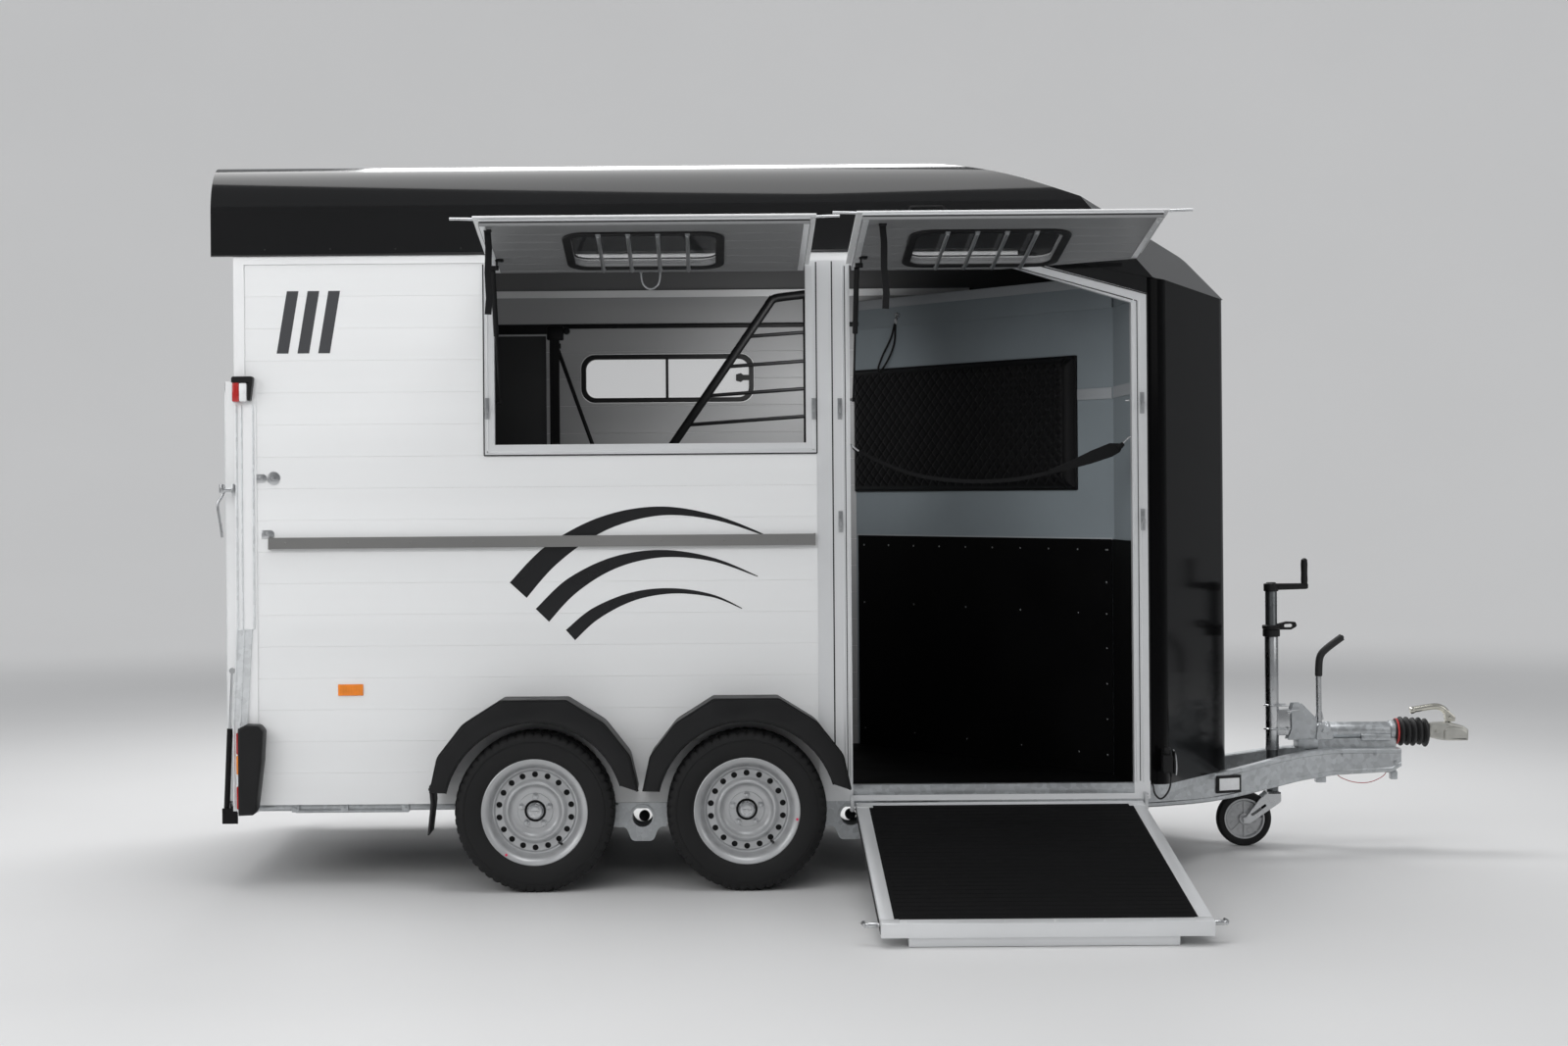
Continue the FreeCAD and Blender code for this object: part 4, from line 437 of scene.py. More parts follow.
# Each finish: slot, label, colour, roughness, metal, the mottling's scale and strength, the
# grain's scale and depth, and what else mottled takes.
FINISHES = {
    "plank": ("panel_white", "white_plank", (0.80, 0.807, 0.81), 0.36, 0.0, 1.4, 0.03, 260,
        0.00008, {**PLANK_RUN, "coat": 0.25, "coat_rough": 0.2}),
    # The inner planks: the white planks darkened to grey, painted shade of the trailer's inside.
    "inner_plank": ("board_grey", "inner_plank", (0.37, 0.373, 0.378), 0.45, 0.1, 1.6, 0.06, 260,
        0.00008, PLANK_RUN),
    # The flaps' inner planks, darker still: painted shade of faces that look down.
    "flap_plank": ("board_grey", "flap_plank", (0.23, 0.233, 0.237), 0.42, 0.2, 1.6, 0.06, 260,
        0.00008, PLANK_RUN),
    # The roof's inner skin, near black: painted shade under the roof.
    "lining": ("board_grey", "roof_lining", (0.13, 0.131, 0.133), 0.55, 0.0, 2, 0.06, 200, 0.0001),
    "dark_board": ("board_black", "dark_board", (0.030, 0.030, 0.031), 0.55, 0.0, 4, 0.15, 240,
        0.0002),
    # A paler copy of the anodised frame: painted light, so the top rails in the roof's shadow show
    # bright.
    "bright_rail": ("frame_white", "bright_rail", (0.88, 0.885, 0.89), 0.38, 0.2, 2, 0.03, 300,
        0.00006, RAIL_RUN),
    "frame": ("frame_white", "anodised_frame", (0.78, 0.79, 0.80), 0.33, 0.45, 2, 0.04, 300,
        0.00006, RAIL_RUN),
    "gloss_black": ("roof_black", "gloss_black_moulding", (0.003, 0.003, 0.0033), 0.16, 0.0, 1.2,
        0.1, 9, 0.0003, {"coat": 0.6, "coat_rough": 0.06, "spec": 0.3}),
    "nose_black": ("roof_black", "nose_black_moulding", (0.003, 0.003, 0.0033), 0.13, 0.0, 1.2,
        0.1, 9, 0.0003, {"ior": 1.13}),
    "plastic": ("black_plastic", "black_plastic", (0.009, 0.009, 0.0095), 0.46, 0.0, 9, 0.15, 650,
        0.0003, {"spec": 0.3}),
    "rubber": ("rubber", "black_rubber", (0.014, 0.014, 0.0145), 0.62, 0.0, 7, 0.2, 420, 0.0003),
    "tyre": ("tyre", "tyre_rubber", (0.009, 0.009, 0.0093), 0.66, 0.0, 8, 0.25, 380, 0.0004,
        {"spec": 0.35}),
    "rim": ("rim_silver", "silver_rim", (0.50, 0.507, 0.515), 0.36, 0.6, 12, 0.05, 700, 0.00015),
    "zinc": ("zinc", "bright_zinc", (0.62, 0.63, 0.64), 0.28, 1.0, 18, 0.08, 500, 0.0001),
    "steel_black": ("black_steel", "black_coated_steel", (0.006, 0.006, 0.0065), 0.45, 0.0, 10,
        0.15, 300, 0.0002, {"spec": 0.2}),
    "kick": ("board_black", "black_board", (0.0025, 0.0025, 0.0027), 0.6, 0.0, 3, 0.3, 160, 0.0002,
        {"spec": 0.1}),
    "mat": ("rubber", "ramp_mat", (0.004, 0.004, 0.0043), 0.8, 0.0, 5, 0.25, 240, 0.0006,
        {"spec": 0.12}),
    "grey_wall": ("board_grey", "grey_board", (0.27, 0.31, 0.335), 0.45, 0.0, 2, 0.07, 200,
        0.0001),
    "vinyl": ("pad_black", "black_vinyl", (0.005, 0.005, 0.0055), 0.4, 0.0, 30, 0.2, 900, 0.0005,
        {"sheen": 0.03, "spec": 0.22}),
    "chrome": ("rod_chrome", "polished_bar", (0.78, 0.79, 0.80), 0.16, 1.0, 8, 0.04, 0, 0),
    "cast": ("coupling_grey", "cast_coupling", (0.50, 0.495, 0.46), 0.36, 0.75, 20, 0.12, 400,
        0.0004),
    "graphic_black": ("black_plastic", "black_film", (0.008, 0.008, 0.009), 0.28, 0.0, 3, 0.05, 0,
        0),
    "graphic_grey": ("black_plastic", "grey_film", (0.055, 0.056, 0.06), 0.30, 0.0, 3, 0.05, 0, 0),
    "amber": ("lamp_red", "amber_reflector", (0.85, 0.24, 0.012), 0.18, 0.0, 30, 0.1, 900, 0.0004,
        {"coat": 0.6}),
    "red_lens": ("lamp_red", "red_lens", (0.42, 0.012, 0.010), 0.14, 0.0, 40, 0.1, 700, 0.0004,
        {"coat": 0.8}),
    "clear_lens": ("lamp_red", "clear_lens", (0.80, 0.81, 0.82), 0.12, 0.0, 40, 0.05, 700, 0.0004,
        {"coat": 0.8}),
    "blind": ("blind", "blind_fabric", (0.02, 0.02, 0.021), 0.6, 0.0, 4, 0.2, 700, 0.0004,
        {"sheen": 0.2}),
    "webbing": ("black_plastic", "black_webbing", (0.005, 0.005, 0.0055), 0.75, 0.0, 60, 0.3, 1200,
        0.0006, {"sheen": 0.04, "spec": 0.25}),
    "rail": ("frame_white", "brushed_rail", (0.30, 0.297, 0.29), 0.38, 0.8, 1.2, 0.12, 400, 0.0001,
        {"stretch": (0.4, 1, 1), "grain_stretch": (0.04, 1, 1)}),
    "satin": ("zinc", "satin_bar", (0.42, 0.43, 0.44), 0.34, 0.85, 14, 0.1, 500, 0.0001),
    "trim_grey": ("board_grey", "trim_grey", (0.40, 0.42, 0.44), 0.45, 0.0, 3, 0.05, 200, 0.0001),
    "milky": ("glass", "clear_pane", (0.85, 0.86, 0.87), 0.12, 0.0, 2, 0.03, 0, 0, {"alpha": 0.07,
        "spec": 0.2}),
    "yellow_zinc": ("zinc", "yellow_zinc", (0.60, 0.585, 0.52), 0.24, 1.0, 18, 0.08, 500, 0.0001),
    "dark_zinc": ("zinc", "dark_zinc", (0.19, 0.20, 0.205), 0.34, 0.95, 12, 0.12, 500, 0.0001),
    "red_cord": ("rubber", "red_cord", (0.45, 0.03, 0.03), 0.5, 0.0, 80, 0.2, 900, 0.0002),
    "red_mark": ("lamp_red", "red_mark", (0.75, 0.02, 0.10), 0.5, 0.0, 50, 0.05, 0, 0),
}
SLOTS = {key: row[0] for key, row in FINISHES.items()}
SLOTS.update({"galvanised": "galvanised", "galvanised_painted_light": "galvanised"})


def make_materials():
    m = {}
    for key, (_, label, colour, rough, metal, scale, vary, grain, depth, *more) in FINISHES.items():
        m[key] = mottled(label, colour, rough, metal, scale=scale, vary=vary, grain=grain,
                         grain_depth=depth, **(more[0] if more else {}))
    # A much paler copy of the galvanised finish: painted light on the side faces of the rear post
    # covers.
    m["galvanised_painted_light"] = spangled("galvanised_painted_light", (0.88, 0.90, 0.91), 0.5, vary=0.08)
    m["galvanised"] = spangled("galvanised", (0.53, 0.55, 0.565), 0.38)
    m["glass"], tree, surface = shader("tinted_glass", (0.02, 0.022, 0.024), 0.03, alpha=0.26,
                                       coat=0.5, coat_rough=0.02)
    dust = noise_node(tree, coordinates(tree), 3, 3)
    gloss = ramp(tree, dust, "Fac", [(0.3, 0.02), (0.7, 0.06)])
    link(tree, gloss, "Color", surface, "Roughness")
    return m


M = make_materials()

# Camera, light and floor

CAMERA_STATION, CAMERA_SIDE, CAMERA_HEIGHT = 1774, -10060, 1475
CAMERA_ROLL = -0.45
FOCAL_PIXELS, IMAGE_WIDTH, IMAGE_HEIGHT = 2500, 1600, 1067
VANISH_X, VANISH_Y = 722, 500


def make_camera():
    data = bpy.data.cameras.new("view")
    data.sensor_width = 36
    data.lens = FOCAL_PIXELS / IMAGE_WIDTH * data.sensor_width
    data.shift_x = (IMAGE_WIDTH / 2 - VANISH_X) / IMAGE_WIDTH
    data.shift_y = (VANISH_Y - IMAGE_HEIGHT / 2) / IMAGE_WIDTH
    data.clip_end = 100
    camera = bpy.data.objects.new("view", data)
    bpy.context.scene.collection.objects.link(camera)
    camera.matrix_world = (Matrix.Translation(at(CAMERA_STATION, CAMERA_SIDE, CAMERA_HEIGHT))
                           @ Matrix.Rotation(math.radians(90), 4, "X")
                           @ Matrix.Rotation(math.radians(CAMERA_ROLL), 4, "Z"))
    bpy.context.scene.camera = camera


def area_light(name, place, target, size, power):
    data = bpy.data.lights.new(name, "AREA")
    data.shape = "RECTANGLE"
    data.size, data.size_y = size
    data.energy = power
    lamp = bpy.data.objects.new(name, data)
    bpy.context.scene.collection.objects.link(lamp)
    lamp.location = place
    lamp.rotation_euler = (Vector(target) - Vector(place)).to_track_quat("-Z", "Y").to_euler()
    return lamp


def make_world():
    """A soft grey surround, which the camera sees in a plain grey of its own."""
    world = bpy.data.worlds.new("studio")
    bpy.context.scene.world = world
    world.use_nodes = True
    tree = world.node_tree
    fill = tree.nodes["Background"]
    fill.inputs["Color"].default_value = (0.95, 0.97, 1.0, 1)
    fill.inputs["Strength"].default_value = 0.36
    seen = tree.nodes.new("ShaderNodeBackground")
    seen.inputs["Color"].default_value = (0.60, 0.60, 0.61, 1)
    path = tree.nodes.new("ShaderNodeLightPath")
    blend = tree.nodes.new("ShaderNodeMixShader")
    link(tree, path, "Is Camera Ray", blend, "Fac")
    tree.links.new(fill.outputs["Background"], blend.inputs[1])
    tree.links.new(seen.outputs["Background"], blend.inputs[2])
    link(tree, blend, "Shader", tree.nodes["World Output"], "Surface")


BACKDROP_GLOW = 0.29


def make_floor():
    """A pale disc whose rim rises in a wide arc, so that no horizon line shows."""
    flat, rise, steps = 15.0, 13.0, 96
    profile = [(0.001, 0.0), (6.0, 0.0), (flat, 0.0)]
    profile += [(flat + rise * math.sin(math.radians(a)), rise * (1 - math.cos(math.radians(a))))
                for a in range(6, 91, 6)]
    centre = at(2200, 0, 0)
    verts, faces = [], []
    for radius, height in profile:
        for k in range(steps):
            turn = 2 * math.pi * k / steps
            verts.append((centre.x + radius * math.cos(turn), centre.y + radius * math.sin(turn),
                          centre.z + height))
    for i in range(len(profile) - 1):
        for k in range(steps):
            j = (k + 1) % steps
            faces.append((i * steps + k, i * steps + j, (i + 1) * steps + j, (i + 1) * steps + k))
    floor = bpy.data.meshes.new("studio_floor")
    floor.from_pydata(verts, [], faces)
    for face in floor.polygons:
        face.use_smooth = True
    ground = bpy.data.objects.new("studio_floor", floor)
    bpy.context.scene.collection.objects.link(ground)
    made, tree, surface = shader("studio_floor", (0.62, 0.62, 0.62), 0.5)
    clouds = noise_node(tree, coordinates(tree), 0.4, 3)
    tones = ramp(tree, clouds, "Fac", [(0.3, 0.66), (0.7, 0.69)])
    link(tree, tones, "Color", surface, "Base Color")
    glow_far_off(tree, surface, centre)
    floor.materials.append(made)


def glow_far_off(tree, surface, centre):
    """What the camera sees of the floor is paler away from the trailer, where no shadow falls."""
    place = tree.nodes.new("ShaderNodeTexCoord")
    offset = tree.nodes.new("ShaderNodeMapping")
    offset.inputs["Location"].default_value = (-centre.x, -centre.y, 0)
    offset.inputs["Scale"].default_value = (1, 1, 0)
    link(tree, place, "Object", offset, "Vector")
    length = tree.nodes.new("ShaderNodeVectorMath")
    length.operation = "LENGTH"
    link(tree, offset, "Vector", length, 0)
    reach = tree.nodes.new("ShaderNodeMapRange")
    reach.interpolation_type = "SMOOTHSTEP"
    for socket, value in (("From Min", 5.5), ("From Max", 15.5), ("To Min", 0.0),
                          ("To Max", BACKDROP_GLOW)):
        reach.inputs[socket].default_value = value
    link(tree, length, "Value", reach, "Value")
    path = tree.nodes.new("ShaderNodeLightPath")
    strength = tree.nodes.new("ShaderNodeMath")
    strength.operation = "MULTIPLY"
    link(tree, reach, "Result", strength, 0)
    link(tree, path, "Is Camera Ray", strength, 1)
    surface.inputs["Emission Color"].default_value = (1, 1, 1, 1)
    link(tree, strength, "Value", surface, "Emission Strength")


def make_studio():
    make_world()
    centre = at(2200, 0, 1300)
    area_light("overhead", at(1500, -600, 6400), centre, (8, 4.5), 300)
    front = area_light("front", at(-600, -8500, 4900), centre, (9, 4), 300)
    front.visible_glossy = False
    area_light("left_fill", at(-4500, -4500, 3400), centre, (4, 3), 75)
    area_light("right_fill", at(9500, -4500, 3600), centre, (4, 3), 45)
    area_light("back_fill", at(2500, 7500, 4200), centre, (7, 3), 70)
    area_light("roof_line", at(1900, 3600, 6300), at(1900, 0, 2500), (4.4, 2.6), 300)
    doorway = area_light("doorway_fill", at(2330, -420, 2080), at(1850, 830, 1650), (0.4, 0.4), 3)
    doorway.data.spread = math.radians(95)
    make_floor()
    bpy.context.scene.view_settings.view_transform = "Standard"


make_camera()
make_studio()

# Sizes repeated from the part's source
HALF, WALL = 860, 30
WALL_LOW, WALL_TOP, SILL = 305, 2334, 1611
WINDOW_REAR, DOOR_POST_REAR, DOOR_POST_FRONT = 937, 2186, 2311
DOOR_FRONT, FRAME_FRONT, DOOR_HEAD, DOOR_SILL = 3368, 3428, 2316, 360
CUT_TOP, CUT_LOW, FRAME_CUT, FRAME_CORNER = 2880, 2167, 2945, 2201
FACE = 866
HUB_FRONT, HUB_REAR, HUB_HEIGHT, TRACK = 1910, 1128, 295, 975
LOWER_ROWS, UPPER_ROWS = 11, 6


def rows():
    """Lower and upper edge of each wall plank."""
    low_pitch = (SILL - WALL_LOW) / LOWER_ROWS
    high_pitch = (WALL_TOP - SILL) / UPPER_ROWS
    for i in range(LOWER_ROWS):
        yield WALL_LOW + low_pitch * i, WALL_LOW + low_pitch * (i + 1)
    for i in range(UPPER_ROWS):
        yield SILL + high_pitch * i, SILL + high_pitch * (i + 1)


def make_walls():
    right = Piece("right_wall_planks")
    left = Piece("left_wall_planks")
    for low, high in rows():
        front = WINDOW_REAR if low >= SILL - 1 else DOOR_POST_REAR
        right.box((40, -HALF, low + 0.1), (front, -HALF + WALL, high - 0.1), 0.8, 1)
        left.box((40, HALF - WALL, low + 0.1), (FRAME_FRONT, HALF, high - 0.1), 0.8, 1)
    holes = Piece("holes")
    holes.plate("XZ", [rounded(rect(1217, 1867, 1983, 2080, 60), 8)], HALF - 40, HALF + 10, 0)
    holes.plate("XZ", [rounded(rect(2560, 470, 3240, 2120, 60), 8)], HALF - 40, HALF + 10, 0)
    holes.plate("XZ", [[(FRAME_CUT, WALL_TOP), (FRAME_FRONT + 10, FRAME_CORNER - 2),
                        (FRAME_FRONT + 10, WALL_TOP + 60), (FRAME_CUT, WALL_TOP + 60)]],
                HALF - 40, HALF + 10, 0)
    left.cut(holes)
    right.done("plank", replaces=["side_wall_right"])
    left.done("plank", replaces=["side_wall_left"])


def make_liners():
    """Inner faces of the walls, in the planks' white darkened to grey: painted shade of the
    trailer's inside.
    """
    left, right = Piece("left_wall_liner"), Piece("right_wall_liner")
    for low, high in rows():
        left.box((42, HALF - WALL - 1.6, low + 0.6),
                 (FRAME_FRONT - 4, HALF - WALL - 0.1, high - 0.6), 0.7, 1)
        front = WINDOW_REAR - 2 if low >= SILL - 1 else DOOR_POST_REAR - 2
        right.box((42, WALL - HALF + 0.1, low + 0.6), (front, WALL - HALF + 1.6, high - 0.6), 0.7,
                  1)
    holes = Piece("liner_holes")
    side = HALF - WALL
    holes.plate("XZ", [rounded(rect(1214, 1864, 1986, 2083, 62), 8)], side - 10, side + 10, 0)
    holes.plate("XZ", [rounded(rect(2560, 470, 3240, 2120, 60), 8)], side - 10, side + 10, 0)
    holes.plate("XZ", [[(FRAME_CUT - 8, WALL_TOP - 4), (FRAME_FRONT + 10, FRAME_CORNER - 8),
                        (FRAME_FRONT + 10, WALL_TOP + 60), (FRAME_CUT - 8, WALL_TOP + 60)]],
                side - 10, side + 10, 0)
    left.cut(holes)
    left.done("inner_plank")
    right.done("inner_plank")


def make_roof_lining():
    """A thin dark grey skin over the inner faces of the roof moulding, taken from its solid; the
    dark grey is painted shade under the roof.
    """
    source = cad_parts["roof_shell"]
    place = source.matrix_world
    corners = [place @ v.co for v in source.data.vertices]
    floor_level, middle = at(0, 0, 2345).z, at(0, 0, 0).y
    lining = Piece("roof_lining")
    part = bmesh.new()
    kept = {}
    turn = place.to_3x3()
    for face in source.data.polygons:
        normal = (turn @ face.normal).normalized()
        spot = place @ face.center
        inward = normal.z < -0.35 or normal.y * (spot.y - middle) < -0.2 * abs(spot.y - middle)
        if not inward or spot.z < floor_level or abs(normal.x) > 0.9:
            continue
        loop = []
        for index in face.vertices:
            if index not in kept:
                inset = corners[index] + normal * 0.0012 - at(0, 0, 0)
                kept[index] = part.verts.new(inset * 1000)
            loop.append(kept[index])
        try:
            part.faces.new(loop)
        except ValueError:
            continue
    lining.take(part)
    lining.done("lining")
    rail = Piece("inner_wall_rail")
    rail.box((44, 808, 2196), (3390, 828, 2216), 3)
    for k in range(11):
        rail.rivet((180 + k * 300, 808, 2206), (0, -1, 0), 4.5)
    rail.done("steel_black")


def make_grille():
    """The head grille: a sloping tube, and thin bars that rise a little towards the front."""
    grille = Piece("partition_grille")
    foot, bend, corner = (1519, 0, 1498), (2050, 0, 2262), (2186, 0, 2276)
    grille.sweep([foot, bend], 18, 20, smooth=False)
    grille.sweep([(2026, 0, 2227), (2034, 0, 2242), (2044, 0, 2253), (2058, 0, 2261),
                  (2076, 0, 2264),
                  corner], 18, 20)
    grille.rod((2186, 0, 1505), (2186, 0, 2290), 15, sides=28, bevel=3)
    slope = (bend[2] - foot[2]) / (bend[0] - foot[0])
    for height in (1622, 1743, 1862, 1981, 2104):
        start = foot[0] + (height - foot[2]) / slope
        grille.rod((start, 0, height), (2186, 0, height + 0.066 * (2186 - start)), 7.5, sides=16)
    grille.done("steel_black", replaces=["head_grille"])


def path_on_wall(points, width, name):
    """A run of thin black line along points (station, height) of the right side's frames: the
    seals, and the grooves as painted shade.
    """
    seal = Piece(name)
    y = RIGHT * FACE
    for (x0, z0), (x1, z1) in zip(points, points[1:]):
        seal.sweep([(x0, y, z0), (x1, y, z1)], width / 2, 8, smooth=False)
    seal.done("rubber")


def make_frame_details():
    """Seals, edge lips, keepers for the catch rods and the screws of the side frames."""
    path_on_wall([(WINDOW_REAR, WALL_TOP - 6), (WINDOW_REAR, SILL), (DOOR_POST_REAR, SILL),
                  (DOOR_POST_REAR, WALL_TOP - 6)], 5, "window_frame_seal")
    path_on_wall([(2245, WALL_TOP - 4), (2245, 372)], 5, "post_seal")
    path_on_wall([(FRAME_CUT - 14, WALL_TOP - 1), (FRAME_FRONT, FRAME_CORNER - 3),
                  (FRAME_FRONT, 372)], 5, "door_frame_seal")
    # The grooves in the door frame and door post are thin black lines: painted shade in the
    # grooves.
    path_on_wall([(CUT_TOP + 4, DOOR_HEAD + 1), (DOOR_FRONT + 22, CUT_LOW + 6),
                  (DOOR_FRONT + 22, 372)], 3.4, "door_frame_groove_shade")
    path_on_wall([(DOOR_POST_FRONT - 18, DOOR_HEAD - 4), (DOOR_POST_FRONT - 18, 372)], 3.4,
                 "door_post_groove_shade")
    lips = Piece("frame_lips")
    y0, y1 = -FACE - 2.2, -FACE + 1
    for x in (WINDOW_REAR + 10, DOOR_POST_REAR - 17):
        lips.box((x, y0, SILL + 10), (x + 7, y1, WALL_TOP - 20), 1.2)
    lips.box((WINDOW_REAR + 10, y0, SILL + 10), (DOOR_POST_REAR - 10, y1, SILL + 17), 1.2)
    for x in (DOOR_POST_FRONT - 12, DOOR_POST_FRONT - 30):
        lips.box((x, y0, DOOR_SILL + 8), (x + 6, y1, DOOR_HEAD - 2), 1.2)
    for x in (DOOR_FRONT + 6, DOOR_FRONT + 30):
        lips.box((x, y0, DOOR_SILL + 8), (x + 6, y1, CUT_LOW + 16 - (x - DOOR_FRONT) * 0.3), 1.2)
    lips.strip([(CUT_TOP + 4, -FACE - 2, DOOR_HEAD + 8), (DOOR_FRONT + 9, -FACE - 2, CUT_LOW + 16)],
               (0, 1, 0), 6, 6)
    lips.done("frame")
    keepers = Piece("catch_keepers")
    for x, z in ((949, 1787), (2175, 1777), (2272, 1776), (2272, 1353), (3406, 1790), (3406, 1352)):
        keepers.box((x - 8, -FACE - 8, z - 40), (x + 8, -FACE - 4, z + 40), 1)
        keepers.box((x - 6, -FACE - 20, z - 13), (x + 6, -FACE - 7, z + 13), 3)
        keepers.rod((x, -FACE - 20, z), (x, -FACE - 26, z), 6, sides=20, bevel=1.5)
        for dz in (-32, -22, 22, 32):
            keepers.rivet((x, -FACE - 8, z + dz), (0, -1, 0), 3)
    keepers.done("satin")
    sill = Piece("door_threshold")
    sill.box((DOOR_POST_FRONT, -FACE - 1, DOOR_SILL - 34), (DOOR_FRONT, -FACE + 3, DOOR_SILL + 5),
             1.5)
    sill.box((DOOR_POST_FRONT, -FACE, DOOR_SILL), (DOOR_FRONT, -FACE + 40, DOOR_SILL + 4), 1.5)
    sill.done("galvanised")
    hook = Piece("opening_hook")
    hook.sweep([(1530, -818, 2300), (1530, -816, 2262), (1546, -815, 2240), (1566, -815, 2233),
                (1586, -815, 2240), (1602, -816, 2262), (1602, -818, 2300)], 3.4, 12)
    for x in (1530, 1602):
        hook.rod((x, -818, 2294), (x, -818, 2330), 5.5, sides=16)
        hook.box((x - 9, -840, 2322), (x + 9, -810, 2333), 2)
    hook.done("zinc")


def tapered(name, points, widths):
    """A film stripe on the right wall: its middle line and its width along it."""
    stripe = Piece(name)
    steps = 12
    line = smooth_line([Vector(p) for p in points], steps)
    size = [first + (last - first) * (k / steps) for first, last in zip(widths, widths[1:])
            for k in range(steps)] + [widths[-1]]
    upper, lower = [], []
    for i, (point, width) in enumerate(zip(line, size)):
        ahead = line[min(i + 1, len(line) - 1)] - line[max(i - 1, 0)]
        normal = Vector((-ahead.y, ahead.x)).normalized() * (width / 2)
        upper.append(point + normal)
        lower.append(point - normal)
    stripe.plate("XZ", [upper + lower[::-1]], -HALF - 0.6, -HALF + 0.1, 0)
    stripe.done("graphic_black")


def make_graphics():
    """Plain sweeping stripes and bars in the colours and scale of the film on the real one."""
    tapered("stripe_upper", [(1060, 1105), (1190, 1240), (1380, 1352), (1590, 1398), (1800, 1372),
                             (2000, 1300)], [86, 78, 54, 34, 18, 3])
    tapered("stripe_middle", [(1150, 1010), (1262, 1120), (1420, 1205), (1600, 1238), (1790, 1215),
                              (1960, 1150)], [70, 62, 44, 28, 14, 3])
    tapered("stripe_lower", [(1255, 935), (1350, 1015), (1490, 1078), (1640, 1098), (1790, 1078),
                             (1900, 1030)], [52, 46, 32, 20, 10, 3])
    bars = Piece("corner_bars")
    for left in (160, 238, 316):
        bars.plate("XZ", [[(left, 2000), (left + 44, 2000), (left + 84, 2234), (left + 40, 2234)]],
                   -HALF - 0.6, -HALF + 0.1, 0)
    bars.done("graphic_grey")
    lens = Piece("side_reflectors")
    for side, low, high in both_sides(HALF - 0.1, HALF + 6):
        for x in (381, 3020) if side == LEFT else (381,):
            lens.box((x, low, 714), (x + 95, high, 757), 2.5)
            for k in range(9):
                y = side * (HALF + 6)
                lens.box((x + 5 + k * 9.6, min(y, y + side * 0.8), 718),
                         (x + 12 + k * 9.6, max(y, y + side * 0.8), 753), 0.4, 1)
    lens.done("amber")


def make_wall_fixtures():
    plates = Piece("bar_fixings")
    y = -HALF
    plates.rod((145, y + 0.5, 1532), (145, y - 4, 1532), 25, sides=40, bevel=1)
    plates.bolt((145, y - 4, 1532), (0, -1, 0), 7, 6)
    for x, z in ((96, 1532), (122, 1322)):
        plates.box((x - 24, y - 4, z - 16), (x + 14, y + 0.5, z + 16), 3)
        plates.rod((x + 8, y + 0.4, z), (x + 8, y - 4.2, z), 16, sides=32, bevel=0.8)
        plates.bolt((x + 6, y - 4, z), (0, -1, 0), 6, 5)
    plates.done("zinc")
    ends = Piece("rub_rail_ends")
    for side, low, high in both_sides(HALF, HALF + 26):
        ends.box((126, low, 1265), (132, high, 1311), 1.5)
        ends.box((2171, low, 1265), (2177, high, 1311), 1.5)
        for k in range(9):
            ends.rivet((190 + k * 235, side * (HALF + 25), 1288), (0, side, 0), 4.5)
    ends.done("rail")
    under = Piece("under_sill_fittings")
    under.box((58, -838, 286), (860, -834, 304), 1)
    under.rod((215, -842, 279), (640, -842, 279), 6, sides=16)
    for x in (215, 400, 630):
        under.box((x - 14, -850, 276), (x + 14, -832, 306), 2)
        under.bolt((x, -850, 290), (0, -1, 0), 5, 4)
    under.done("galvanised")


FLAP_PLACE = hung(-879, 2322, -99.5)
PANE_TOP, PANE_LOW, PANE_WIDE = -92, -542, 525


